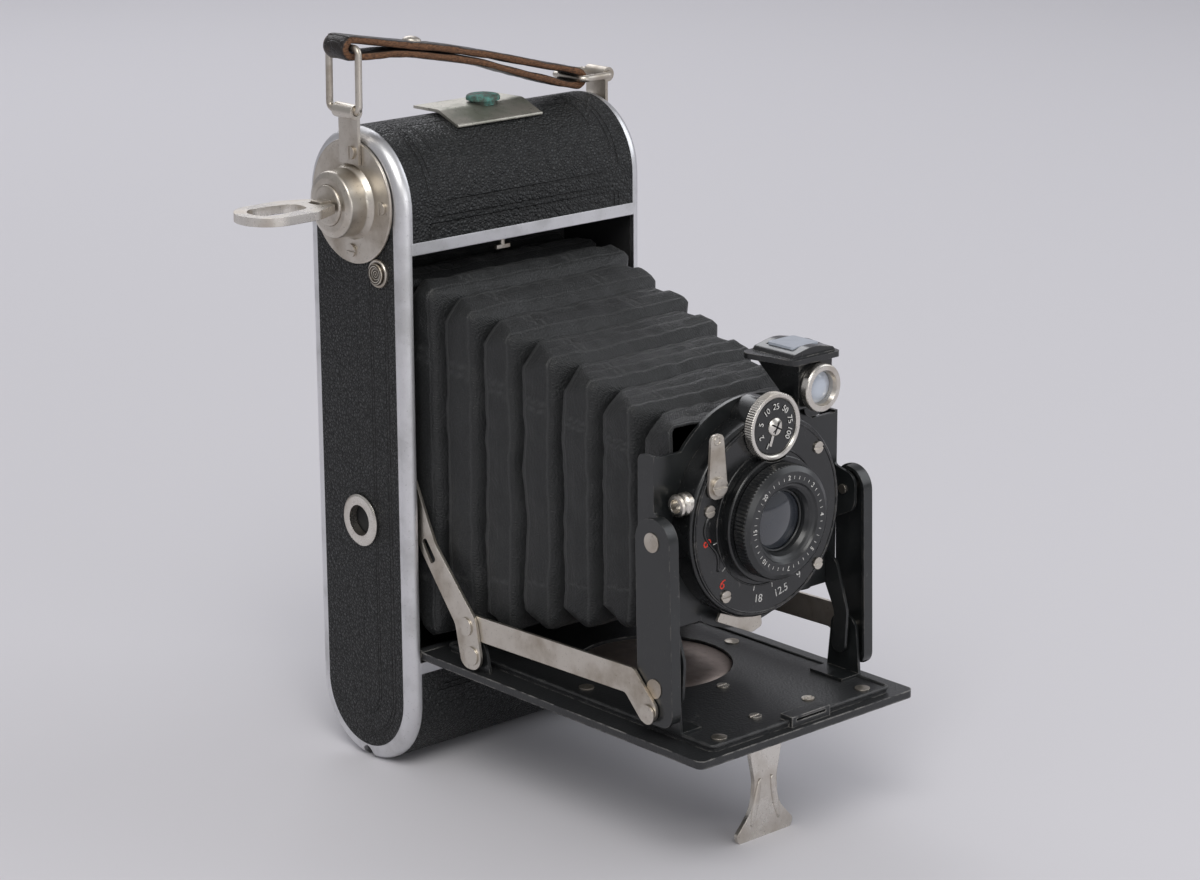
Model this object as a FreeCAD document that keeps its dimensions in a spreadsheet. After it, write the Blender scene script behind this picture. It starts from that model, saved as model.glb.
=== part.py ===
import FreeCAD, Part
import math
import os
import re

import Sketcher
from FreeCAD import Placement, Rotation, Vector

# A folding rollfilm camera, open for use, in millimetres.
# +Z is up, the lens looks along -Y and +X is on the right as seen from the front.
# The origin is on the ground under the middle of the body; y = 0 is the seam between casing and back.

doc = FreeCAD.newDocument("FoldingCamera")

# ---------------------------------------------------------------- driving dimensions
SIZES = {
    # body
    "body_width": 80.0,
    "body_depth": 38.5,
    "body_height": 167.0,
    "wall_thick": 1.6,
    "bead_radius": 2.8,
    "skin_thick": 0.4,
    "skin_proud": 0.05,
    "seam_gap": 0.05,
    "side_skin_inset": 3.8,
    "front_skin_half": 36.7,
    "opening_half": 37.1,
    "opening_low": 30.5,
    "opening_high": 137.0,
    "crossbar_height": 3.1,
    # inner chassis
    "chassis_half": 38.2,
    "chassis_front": -17.6,
    "chassis_back": 9.6,
    "plate_thick": 1.0,
    "window_half_width": 28.0,
    "window_low": 38.5,
    "window_high": 125.5,
    "roller_depth": 10.5,
    # back hinge and latch
    "back_hinge_height": 1.3,
    "back_barrel_radius": 1.25,
    "back_pin_radius": 0.6,
    "running_gap": 0.05,
    # winder on the left side
    "winder_height": 148.5,
    "hub_radius": 5.2,
    "spool_half": 32.0,
    "spool_flange_radius": 9.6,
    "spool_core_radius": 3.2,
    "key_pivot": -50.6,
    "key_thick": 2.2,
    "tripod_height": 65.2,
    "button_depth": -9.8,
    "button_height": 131.6,
    "button_radius": 2.8,
    "latch_roll_depth": -9.5,
    "latch_roll_height": 165.3,
    # strap
    "strap_half_width": 4.7,
    "wire_radius": 0.9,
    "left_bar": -42.2,
    "right_bar": 41.4,
    "bar_height": 171.6,
    # bed
    "bed_hinge_depth": -18.0,
    "bed_hinge_height": 32.25,
    "bed_pin_radius": 0.9,
    "bed_half": 36.5,
    "bed_front": -122.35,
    "bed_low": 31.25,
    "bed_thick": 2.0,
    "pan_half": 30.3,
    "pan_thick": 1.35,
    "bed_window_depth": -67.0,
    "bed_window_radius": 20.0,
    "foot_depth": -106.0,
    "foot_hinge_height": 28.9,
    "foot_thick": 1.2,
    # linkage
    "strut_foot_depth": -104.0,
    "strut_foot_height": 46.0,
    "strut_top_depth": -103.0,
    "lens_height": 82.0,
    "arm_foot_depth": -103.0,
    "arm_foot_height": 39.6,
    "hook_pivot_depth": -38.8,
    "hook_pivot_height": 37.5,
    "hook_rivet_depth": -36.6,
    "hook_rivet_height": 44.7,
    "link_thick": 0.8,
    "rivet_radius": 1.2,
    "rivet_head_radius": 2.4,
    "ear_layer": 30.0,
    "strut_layer": 31.2,
    "strut_flange": 3.0,
    "long_arm_layer": 34.5,
    "hook_ear_layer": 33.4,
    "hook_arm_layer": 35.4,
    # lens standard
    "board_front": -100.0,
    "board_radius": 29.0,
    "shutter_radius": 25.0,
    "shutter_front": -106.3,
    "face_radius": 24.2,
    "dial_height": 104.8,
    "dial_radius": 8.3,
    "finder_pivot_side": 22.0,
    "finder_pivot_height": 104.5,
    "finder_side": 15.0,
    "finder_ring_height": 111.8,
    "finder_roof": 118.0,
    # bellows
    "bellows_front": -98.9,
    "bellows_back": 8.4,
    "bellows_pitch": 13.0,
    "bellows_fold": 4.5,
    "bellows_wall": 0.8,
}

sheet = doc.addObject("Spreadsheet::Sheet", "Dims")
for row, (alias, size) in enumerate(SIZES.items(), start=1):
    sheet.set(f"A{row}", alias.replace("_", " "))
    sheet.set(f"B{row}", str(size))
    sheet.setAlias(f"B{row}", alias)
doc.recompute()

ALIAS = re.compile(r"\b([a-z]+(?:_[a-z]+)+)\b")
UPRIGHT = {
    "x": Rotation(Vector(0, 1, 0), 90),
    "y": Rotation(Vector(1, 0, 0), -90),
    "z": Rotation(),
}
nodes = {}


# ---------------------------------------------------------------- helpers
def bind(thing, prop, formula):
    """Ties a property to a formula written in the sheet's aliases."""
    thing.setExpression(prop, ALIAS.sub(r"Dims.\1", str(formula)))


def number(size):
    """The value of a size that is given as a number or as an alias, with or without a minus."""
    if not isinstance(size, str):
        return size
    return -SIZES[size[1:]] if size.startswith("-") else SIZES[size]


def node(label, thing):
    """Keeps an object as a sub-part of the camera under its own name."""
    thing.Label = label
    nodes[label] = thing
    return thing


def box(name, low, high):
    solid = doc.addObject("Part::Box", name)
    for side, axis, start, end in zip(("Length", "Width", "Height"), "xyz", low, high):
        bind(solid, side, f"({end}) - ({start})")
        bind(solid, f"Placement.Base.{axis}", start)
    return solid


def rod(name, axis, start, radius, length):
    """A cylinder from start along the positive axis."""
    solid = doc.addObject("Part::Cylinder", name)
    solid.Placement = Placement(Vector(), UPRIGHT[axis])
    bind(solid, "Radius", radius)
    bind(solid, "Height", length)
    for direction, place in zip("xyz", start):
        bind(solid, f"Placement.Base.{direction}", place)
    return solid


def cut(name, base, *tools):
    tool = tools[0] if len(tools) == 1 else fuse(name + "Tools", *tools)
    solid = doc.addObject("Part::Cut", name)
    solid.Base = base
    solid.Tool = tool
    return solid


def common(name, *parts):
    solid = doc.addObject("Part::MultiCommon", name)
    solid.Shapes = list(parts)
    return solid


def fuse(name, *parts):
    solid = doc.addObject("Part::MultiFuse", name)
    solid.Shapes = list(parts)
    return solid


def group(name, *parts):
    """Separate solids that make one sub-part, such as a set of screws."""
    solid = doc.addObject("Part::Compound", name)
    solid.Links = list(parts)
    return solid


def rounded(corners, closed=True):
    """Lines and tangent arcs through (point, radius) corners."""
    count = len(corners)
    joints = []
    for i, (point, radius) in enumerate(corners):
        before = corners[i - 1][0] if closed or i else None
        after = corners[(i + 1) % count][0] if closed or i < count - 1 else None
        if not radius or before is None or after is None:
            joints.append((point, None, point))
            continue
        back = (before - point).normalize()
        on = (after - point).normalize()
        half = back.getAngle(on) / 2
        reach = radius / math.tan(half)
        middle = (back + on).normalize() * (radius / math.sin(half) - radius)
        joints.append((point + back * reach, point + middle, point + on * reach))
    edges = []
    for i, (start, middle, end) in enumerate(joints):
        if middle is not None:
            edges.append(Part.Arc(start, middle, end))
        if closed or i < count - 1:
            target = joints[(i + 1) % count][0]
            if end.distanceToPoint(target) > 1e-6:
                edges.append(Part.LineSegment(end, target))
    return edges


def sketch_on(body, plane, offset):
    """An empty sketch on one of the body's origin planes, moved by three formulas."""
    face = next(f for f in body.Origin.OriginFeatures if f.Role == plane)
    sketch = body.newObject("Sketcher::SketchObject", body.Name + "Sketch")
    sketch.AttachmentSupport = (face, [""])
    sketch.MapMode = "FlatFace"
    for axis, formula in zip("xyz", offset):
        if formula != 0:
            bind(sketch, f"AttachmentOffset.Base.{axis}", formula)
    return sketch


def draw(sketch, corners):
    outline = [(Vector(u, v, 0), radius) for u, v, radius in corners]
    sketch.addGeometry(rounded(outline), False)


def hole(sketch, u, v, radius):
    circle = Part.Circle(Vector(number(u), number(v), 0), Vector(0, 0, 1), number(radius))
    index = sketch.addGeometry(circle, False)
    constraint = sketch.addConstraint(Sketcher.Constraint("Radius", index, number(radius)))
    if isinstance(radius, str):
        bind(sketch, f"Constraints[{constraint}]", radius)


def plate(name, axis, start, thick, outline, holes=(), windows=()):
    """A flat piece: an outline of (u, v, corner radius) with round holes and shaped windows."""
    planes = {"x": "YZ_Plane", "y": "XZ_Plane", "z": "XY_Plane"}
    body = doc.addObject("PartDesign::Body", name)
    height = f"-({start})" if axis == "y" else start
    sketch = sketch_on(body, planes[axis], (0, 0, height))
    if len(outline) == 1:
        hole(sketch, *outline[0])
    else:
        draw(sketch, outline)
    for circle in holes:
        hole(sketch, *circle)
    for window in windows:
        draw(sketch, window)
    pad = body.newObject("PartDesign::Pad", name + "Pad")
    pad.Profile = sketch
    bind(pad, "Length", thick)
    pad.Reversed = axis == "y"
    sketch.Visibility = False
    return body


def turned(name, axis, centre, profile):
    """A turned piece: a closed profile of (place along the axis, radius, corner radius)."""
    body = doc.addObject("PartDesign::Body", name)
    if axis == "x":
        sketch = sketch_on(body, "XY_Plane", (0, centre[0], centre[1]))
        corners = [(along, radius, corner) for along, radius, corner in profile]
    elif axis == "y":
        sketch = sketch_on(body, "XY_Plane", (centre[0], 0, centre[1]))
        corners = [(radius, along, corner) for along, radius, corner in profile]
    else:
        sketch = sketch_on(body, "XZ_Plane", (centre[0], 0, f"-({centre[1]})"))
        corners = [(radius, along, corner) for along, radius, corner in profile]
    draw(sketch, corners)
    turn = body.newObject("PartDesign::Revolution", name + "Turn")
    turn.Profile = sketch
    turn.ReferenceAxis = (sketch, ["H_Axis" if axis == "x" else "V_Axis"])
    turn.Angle = 360
    sketch.Visibility = False
    return body


def sharp(*profile):
    """Corners with no rounding."""
    return [(along, radius, 0) for along, radius in profile]


def stadium(name, inset, half):
    """A full-round-ended block along X, inset from the body's outside, from -half to half."""
    low = SIZES["body_depth"] / 2
    radius = low - number(inset)
    high = SIZES["body_height"] - low
    body = doc.addObject("PartDesign::Body", name)
    sketch = sketch_on(body, "YZ_Plane", (0, 0, f"-({half})"))
    normal = Vector(0, 0, 1)
    bottom = Part.ArcOfCircle(Part.Circle(Vector(0, low, 0), normal, radius), math.pi, 2 * math.pi)
    top = Part.ArcOfCircle(Part.Circle(Vector(0, high, 0), normal, radius), 0, math.pi)
    right = Part.LineSegment(Vector(radius, low, 0), Vector(radius, high, 0))
    left = Part.LineSegment(Vector(-radius, high, 0), Vector(-radius, low, 0))
    sketch.addGeometry([bottom, right, top, left], False)
    centre, origin, upright = 3, (-1, 1), -2
    made = sketch.addConstraint([
        Sketcher.Constraint("Tangent", 0, 2, 1, 1),
        Sketcher.Constraint("Tangent", 1, 2, 2, 1),
        Sketcher.Constraint("Tangent", 2, 2, 3, 1),
        Sketcher.Constraint("Tangent", 3, 2, 0, 1),
        Sketcher.Constraint("PointOnObject", 0, centre, upright),
        Sketcher.Constraint("Vertical", 1),
        Sketcher.Constraint("DistanceY", *origin, 0, centre, low),
        Sketcher.Constraint("DistanceY", *origin, 2, centre, high),
        Sketcher.Constraint("Radius", 0, radius),
    ])
    bind(sketch, f"Constraints[{made[6]}]", "body_depth / 2")
    bind(sketch, f"Constraints[{made[7]}]", "body_height - body_depth / 2")
    bind(sketch, f"Constraints[{made[8]}]", f"body_depth / 2 - ({inset})")
    pad = body.newObject("PartDesign::Pad", name + "Pad")
    pad.Profile = sketch
    bind(pad, "Length", f"2 * ({half})")
    sketch.Visibility = False
    return body


def beaded(body):
    """Rolls over the rim of both end faces of a stadium block."""
    doc.recompute()
    pad = body.Tip
    ends = [f"Face{i}" for i, face in enumerate(pad.Shape.Faces, start=1)
            if abs(face.normalAt(0, 0).x) > 0.99]
    bead = body.newObject("PartDesign::Fillet", body.Name + "Bead")
    bead.Base = (pad, ends)
    bind(bead, "Radius", "bead_radius")
    return body


def screw(name, axis, start, radius, head, slot):
    """A cheese head with a driver slot across it; a negative head points down the axis."""
    low = list(start)
    index = "xyz".index(axis)
    if head < 0:
        low[index] = f"{start[index]} + ({head})"
    body = rod(name + "Head", axis, low, radius, abs(head))
    reach = radius + 1
    across = {"x": "y", "y": "x", "z": "x"}[axis]
    corner, far = list(start), list(start)
    for direction in "xyz":
        i = "xyz".index(direction)
        if direction == axis:
            outside = f"{start[i]} + ({head})"
            depth = head * 0.5
            corner[i], far[i] = ((f"{outside} - 0.2", f"{outside} - ({depth})") if head < 0
                                 else (f"{outside} - ({depth})", f"{outside} + 0.2"))
        else:
            half = reach if (direction == across) == (slot == "across") else radius * 0.16
            corner[i], far[i] = f"{start[i]} - {half}", f"{start[i]} + {half}"
    return cut(name, body, box(name + "Slot", corner, far))


def layer(side, inner, thick):
    """The lower x of a plate that lies in the same layer on the left (-1) or the right (+1)."""
    return inner if side > 0 else f"-({inner} + {thick})"


def wire_loop(name, corners, radius):
    """A bent wire that closes on itself."""
    path = Part.Wire([edge.toShape() for edge in rounded(corners)])
    start = path.Edges[0]
    at = start.valueAt(start.FirstParameter)
    along = start.tangentAt(start.FirstParameter)
    section = Part.Wire(Part.makeCircle(radius, at, along))
    solid = doc.addObject("Part::Feature", name)
    solid.Shape = path.makePipeShell([section], True, True)
    return solid


# ---------------------------------------------------------------- casing, back and their skins
def make_shells():
    outside = beaded(stadium("CasingOutside", 0, "body_width / 2"))
    cavity = stadium("CasingCavity", "wall_thick", "body_width / 2 - wall_thick")
    shell = cut("CasingShell", outside, cavity)
    proud = stadium("SkinOutside", "-skin_proud", "front_skin_half")
    clear = stadium("SkinClearance", -2, "front_skin_half")
    under = stadium("SkinUnderside", "skin_thick", "front_skin_half + 1")
    recess = cut("SkinRecess", clear, under)
    skin = cut("SkinBand", proud, under)

    def side_band(name, start, end):
        """The full-round side panel on both sides, from start to end out from the middle."""
        panel = stadium(name + "Panel", "side_skin_inset", end)
        return cut(name, panel, box(name + "Middle", (f"-({start})", -30, -5), (start, 30, 175)))

    side_recess = side_band("SideRecess", "body_width / 2 - skin_thick", "body_width / 2 + 2")
    side_skin = side_band("SideSkin", "body_width / 2 - skin_thick", "body_width / 2 + skin_proud")

    front = box("FrontHalf", (-60, -40, -5), (60, "-seam_gap", 175))
    back = box("BackHalf", (-60, "seam_gap", -5), (60, 40, 175))
    above = box("AboveOpening", (-60, -40, "opening_high + crossbar_height"), (60, "-seam_gap", 175))
    below = box("BelowOpening", (-60, -40, -5), (60, "-seam_gap", "opening_low - crossbar_height"))
    opening = box(
        "BedOpening",
        ("-opening_half", -30, "opening_low - crossbar_height"),
        ("opening_half", -12, "opening_high + crossbar_height"),
    )
    groove = rod("HingeGroove", "x", (-45, 0, "back_hinge_height"), 2.0, 90)
    bores = [
        rod("WinderBore", "x", (-45, 0, "winder_height"), "hub_radius + 0.4", 10),
        rod("TripodBore", "x", (-45, 0, "tripod_height"), 6.2, 10),
    ]
    button_bore = rod("ButtonBore", "x", (-45, "button_depth", "button_height"), "button_radius + 0.1", 8)
    pin_bore = rod("BedPinBore", "x", (-38.2, "bed_hinge_depth", "bed_hinge_height"),
                   "bed_pin_radius + running_gap", 76.4)
    window_bore = rod("RedWindowBore", "y", (0, 10, 60), 6.05, 20)

    def knuckles(name, side, places):
        """Rolled hinge barrels with a leaf that lies on the inside of the wall."""
        barrels = []
        for i, (start, end) in enumerate(places):
            barrel = rod(f"{name}{i}Barrel", "x", (start, 0, "back_hinge_height"),
                         "back_barrel_radius", end - start)
            near, far = (0.6, 4.0) if side > 0 else (-4.0, -0.6)
            leaf = box(f"{name}{i}Leaf", (start, near, 1.4), (end, far, 2.4))
            barrels += [barrel, leaf]
        return barrels

    pin_hole = rod("BackPinHole", "x", (-40, 0, "back_hinge_height"), "back_pin_radius + running_gap", 80)
    half = common("FrontShell", shell, front)
    trimmed = cut("FrontTrimmed", half, opening, groove, common("TopRecess", recess, above),
                  common("BottomRecess", recess, below), side_recess, button_bore, pin_bore, *bores)
    hinged = fuse("FrontHinged", trimmed, *knuckles("FixedKnuckle", -1, [(-30, -18), (-6, 6), (18, 30)]))
    node("front_casing", cut("FrontCasing", hinged, pin_hole))

    half = common("BackShell", shell, back)
    back_recess = common("BackRecess", recess, back)
    trimmed = cut("BackTrimmed", half, groove, back_recess, side_recess, window_bore, *bores)
    hinged = fuse("BackHinged", trimmed, *knuckles("MovingKnuckle", 1, [(-17.8, -6.2), (6.2, 17.8)]))
    node("back_cover", cut("BackCover", hinged, pin_hole))

    top_skin = common("TopLeather", skin, above)
    bottom_skin = cut("BottomLeather", common("BottomSkin", skin, below), groove)
    node("front_leathers", group("FrontLeathers", top_skin, bottom_skin))
    node("side_leathers", cut("SideLeathers", common("SideSkinFront", side_skin, front),
                              groove, button_bore, *bores))
    panels = cut("CoverSides", common("SideSkinBack", side_skin, back), groove, *bores)
    rear = cut("CoverRear", common("BackSkin", skin, back), groove, window_bore)
    node("cover_leathers", group("CoverLeathers", rear, panels))

    bars = []
    for name, low in (("Top", "opening_high"), ("Bottom", "opening_low - crossbar_height")):
        bars.append(box(f"{name}Crossbar", ("-opening_half", "-(body_depth / 2 + 0.05)", low),
                        ("opening_half", "-(body_depth / 2 - wall_thick)", f"{low} + crossbar_height")))
    node("crossbars", group("Crossbars", *bars))
    back_pin = rod("BackHingePin", "x", (-30, 0, "back_hinge_height"), "back_pin_radius", 60)
    bed_pin = rod("BedHingePin", "x", (-38.1, "bed_hinge_depth", "bed_hinge_height"), "bed_pin_radius", 76.2)
    node("hinge_pins", group("HingePins", back_pin, bed_pin))


def make_back_parts():
    """The film pressure plate with its two leaf springs, and the red frame-number window."""
    node("pressure_plate", plate("PressurePlate", "y", 11.2, "plate_thick",
                                 [(-29.5, 37, 3), (29.5, 37, 3), (29.5, 127, 3), (-29.5, 127, 3)]))
    bow = [(12.25, 52, 0), (17.55, 82, 40), (12.25, 112, 0), (12.25, 110, 0), (17.0, 82, 40), (12.25, 54, 0)]
    springs = [plate(f"LeafSpring{name}", "x", start, 4, bow) for name, start in (("Left", -15), ("Right", 11))]
    node("pressure_springs", group("PressureSprings", *springs))
    node("red_window", turned("RedWindow", "y", (0, 60),
                              sharp((17.7, 0), (17.7, 6.0), (19.0, 6.0), (19.0, 4.8), (18.4, 4.6), (18.4, 0))))


# ---------------------------------------------------------------- inside the body
def make_chassis():
    """The box that the bellows folds into, with the film window at its back."""
    outer = box("ChassisOuter", ("-chassis_half", "chassis_front", "opening_low - plate_thick"),
                ("chassis_half", "chassis_back", "opening_high + plate_thick"))
    well = box("ChassisWell", ("-(chassis_half - plate_thick)", -20, "opening_low"),
               ("chassis_half - plate_thick", "chassis_back - plate_thick", "opening_high"))
    window = box("FilmWindow", ("-window_half_width", 0, "window_low"), ("window_half_width", 20, "window_high"))
    slot = box("CatchSlot", (-4.3, -14.4, 136), (-0.9, -12.6, 139))
    pin_bore = rod("ChassisPinBore", "x", (-40, "bed_hinge_depth", "bed_hinge_height"),
                   "bed_pin_radius + running_gap", 80)
    pads, ears, holes = [], [], []
    for side in (-1, 1):
        word = "Left" if side < 0 else "Right"
        near, far = sorted((side * 38.1, side * 38.4))
        pads.append(box(f"ChassisPad{word}", (near, -16, 35), (far, -2, 120)))
        near, far = sorted((side * 33.0, side * 34.0))
        for end, low, high in (("Top", 138, 145.5), ("Bottom", 21.5, 29.5)):
            ears.append(box(f"RollerEar{end}{word}", (near, 6.5, low), (far, 9.6, high)))
            reach = 142 if end == "Top" else 25
            ears.append(rod(f"RollerEye{end}{word}", "x", (near, "roller_depth", reach), 2.4, far - near))
    for end, height in (("Top", 142), ("Bottom", 25)):
        holes.append(rod(f"RollerHole{end}", "x", (-35, "roller_depth", height), 0.85, 70))
    whole = fuse("ChassisWhole", cut("ChassisBox", outer, well, window, slot), *pads, *ears)
    node("film_chassis", cut("FilmChassis", whole, pin_bore, *holes))
    for end, height in (("top", 142), ("bottom", 25)):
        node(f"film_roller_{end}", turned(
            f"FilmRoller{end}", "x", ("roller_depth", height),
            sharp((-34.4, 0), (-34.4, 0.8), (-32.6, 0.8), (-32.6, 2.5), (32.6, 2.5), (32.6, 0.8),
                  (34.4, 0.8), (34.4, 0))))
    studs = []
    for side in (-1, 1):
        studs.append(rod(f"LockStud{side + 1}", "x", (layer(side, 36.7, 0.5), -15.3, 64.5), 1.4, 0.5))
    node("arm_lock_studs", group("ArmLockStuds", *studs))
    bracket = box("SpoolBracket", (37.5, -8, 145), (38.4, -0.1, 152))
    pivot = rod("SpoolPivotPin", "x", (29.5, 0, "winder_height"), 1.5, 8.8)
    node("spool_pivot", fuse("SpoolPivot", bracket, pivot))
    catch = fuse("BedCatch", box("CatchSlide", (-8, -15.4, 138.1), (2, -11.6, 138.9)),
                 rod("CatchPin", "z", (-3.2, -13.5, 133.8), 0.7, 4.6),
                 box("CatchHead", (-5.4, -14.1, 133.2), (-1.0, -12.9, 134.2)))
    node("bed_catch", catch)


def make_bellows():
    """Nine box pleats that taper from the chassis to the lens board."""
    rear_y, front_y = -17.0, -95.0
    rear_half, front_half = Vector(34.0, 0, 46.5), Vector(24.5, 0, 25.5)

    def section(y, inset):
        share = min(max((y - front_y) / (rear_y - front_y), 0), 1)
        half = front_half + (rear_half - front_half) * share
        middle = SIZES["lens_height"] + share
        w, h = half.x - inset, half.z - inset
        corners = [(-w, -h), (w, -h), (w, h), (-w, h), (-w, -h)]
        return Part.makePolygon([Vector(u, y, middle + v) for u, v in corners])

    def tube(wall):
        pitch = SIZES["bellows_pitch"]
        wires = [section(SIZES["bellows_front"], wall + 1)]
        y = front_y
        while y < 0:
            wires.append(section(y, wall))
            wires.append(section(y + pitch / 2, wall + SIZES["bellows_fold"]))
            y += pitch
        wires.append(section(SIZES["bellows_back"], wall))
        return Part.makeLoft(wires, True, True)

    bellows = doc.addObject("Part::Feature", "Bellows")
    bellows.Shape = tube(0).cut(tube(SIZES["bellows_wall"]))
    node("bellows", bellows)


# ---------------------------------------------------------------- left side, latch and strap
def make_winder():
    centre = (0, "winder_height")
    node("winder_escutcheon", turned("Escutcheon", "x", centre, [
        (-40.3, 5.25, 0), (-40.3, 15.8, 0), (-41.0, 15.8, 0.4), (-41.0, 9.6, 0), (-42.4, 8.6, 1),
        (-47.2, 8.4, 0.8), (-48.0, 6.8, 0.5), (-48.0, 5.25, 0)]))
    screws = []
    for i, (y, z) in enumerate(((12.4, 0), (0, -12.4), (-12.4, 0))):
        screws.append(screw(f"EscutcheonScrew{i}", "x", (-41.0, y, f"winder_height + ({z})"),
                            1.7, -0.6, "across" if i == 1 else "along"))
    node("escutcheon_screws", group("EscutcheonScrews", *screws))
    hub = turned("HubBarrel", "x", centre, [
        (-48.6, 0, 0), (-48.6, 5.2, 0.6), (-38.2, 5.2, 0), (-38.2, 2.0, 0), (-32, 2.0, 0), (-32, 0, 0)])
    tongue = box("HubTongue", (-52, -1.9, "winder_height - 1.5"), (-48.2, 1.9, "winder_height + 1.5"))
    eye = rod("HubEye", "y", ("key_pivot", -6, "winder_height"), 0.85, 12)
    node("winder_hub", cut("WinderHub", fuse("HubWhole", hub, tongue), eye))
    half, flange, core = SIZES["spool_half"], SIZES["spool_flange_radius"], SIZES["spool_core_radius"]
    node("takeup_spool", turned("TakeupSpool", "x", centre, sharp(
        (-half, 0), (-half, flange), (1 - half, flange), (1 - half, core), (half - 1, core),
        (half - 1, flange), (half, flange), (half, 1.58), (half - 3, 1.58), (half - 3, 0))))
    ring = plate("KeyRing", "z", "winder_height - key_thick / 2", "key_thick",
                 [(-49.3, -4.8, 1), (-57, -8.6, 8), (-74.5, -8.6, 8.2), (-74.5, 8.6, 8.2), (-57, 8.6, 8),
                  (-49.3, 4.8, 1), (-49.3, 2.1, 0), (-53, 2.1, 1), (-53, -2.1, 1), (-49.3, -2.1, 0)],
                 windows=[[(-56.2, -3.6, 3), (-71.4, -5.6, 4.6), (-71.4, 5.6, 4.6), (-56.2, 3.6, 3)]])
    pin = rod("KeyPin", "y", ("key_pivot", -4.4, "winder_height"), 0.8, 8.8)
    node("winding_key", fuse("WindingKey", ring, pin))


def make_side_fittings():
    node("tripod_bush", turned("TripodBush", "x", (0, "tripod_height"), sharp(
        (-40.9, 4.05), (-40.9, 6.3), (-40.6, 6.8), (-40.3, 6.8), (-40.3, 5.9), (-38.5, 5.9), (-38.5, 4.05))))
    place = ("button_depth", "button_height")
    node("button_bezel", turned("ButtonBezel", "x", place, sharp(
        (-40.06, 2.9), (-40.06, 3.6), (-40.7, 3.6), (-40.95, 3.4), (-40.95, 2.9))))
    node("release_button", turned("ReleaseButton", "x", place, sharp(
        (-39.7, 0), (-39.7, 2.8), (-41.4, 2.8), (-41.7, 2.5), (-41.7, 1.7), (-41.4, 1.5), (-41.4, 0))))


def make_latch():
    """A sprung plate that rolls on its front edge, with the button that lifts it."""
    sheet_metal = plate("LatchSheet", "x", -14, 28, [
        (-9.6, 165.6, 0), (-2.0, 168.6, 4), (8.0, 168.4, 0), (8.0, 167.7, 0), (-1.9, 167.8, 4), (-9.2, 165.0, 0)])
    roll = rod("LatchRoll", "x", (-14, "latch_roll_depth", "latch_roll_height"), 0.45, 28)
    whole = fuse("LatchPlate", sheet_metal, roll)
    node("latch_plate", whole)
    button = turned("LatchStud", "z", (2, -0.5), [
        (168.0, 0, 0), (168.0, 3.4, 0), (169.2, 3.4, 0), (169.2, 4.4, 0), (170.4, 4.4, 0.8), (171.2, 0, 0)])
    node("latch_button", cut("LatchButton", button, whole))


def make_strap():
    """A folded leather handle held by a bent wire link and a lug at each end."""
    bore = SIZES["wire_radius"] + 0.08
    lugs, screws = [], []
    for side, bar, near, far, low in ((-1, "left_bar", -42.0, -41.1, 158.3), (1, "right_bar", 40.35, 41.2, 152)):
        word = "Left" if side < 0 else "Right"
        strip = box(f"Lug{word}Strip", (near, -4.8, low), (far, 2.8, "bar_height"))
        curl = rod(f"Lug{word}Curl", "y", (bar, -4.8, "bar_height"), 1.9, 7.6)
        eye = rod(f"Lug{word}Eye", "y", (bar, -6, "bar_height"), bore, 10)
        lugs.append(cut(f"Lug{word}", fuse(f"Lug{word}Whole", strip, curl), eye))
        head = far if side > 0 else near
        for i, height in enumerate((low + 3,) if side < 0 else (low + 3, low + 9)):
            screws.append(screw(f"LugScrew{word}{i}", "x", (head, -2.0, height), 1.7, side * 0.6, "along"))
    node("strap_lugs", group("StrapLugs", *lugs))
    node("lug_screws", group("LugScrews", *screws))

    bar_z, half = SIZES["bar_height"], SIZES["strap_half_width"] + 1.2
    left, right = SIZES["left_bar"], SIZES["right_bar"]
    loops = {
        "strap_link_left": [(left, bar_z), (left + 0.2, 187.4)],
        "strap_link_right": [(right, bar_z), (31.6, bar_z - 0.1)],
    }
    for label, (low, high) in loops.items():
        corners = [Vector(low[0], -half, low[1]), Vector(high[0], -half, high[1]),
                   Vector(high[0], half, high[1]), Vector(low[0], half, low[1])]
        node(label, wire_loop(label, [(corner, 1.6) for corner in corners], SIZES["wire_radius"]))
    node("carrying_strap", plate("CarryingStrap", "y", "-strap_half_width", "2 * strap_half_width", [
        (-45.8, 190.8, 3.2), (-36, 189.6, 8), (-27, 187.9, 12), (0, 182.4, 40), (21, 176.8, 25),
        (34.8, 174.5, 2.8), (34.8, 168.5, 2.8), (27, 169.4, 8), (17, 172.4, 20), (0, 177.9, 40),
        (-27, 183.3, 15), (-36, 183.4, 8), (-45.8, 184.0, 3.2)],
        holes=[("left_bar", 187.4, 2.3), (31.6, 171.5, 2.0)]))


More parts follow.
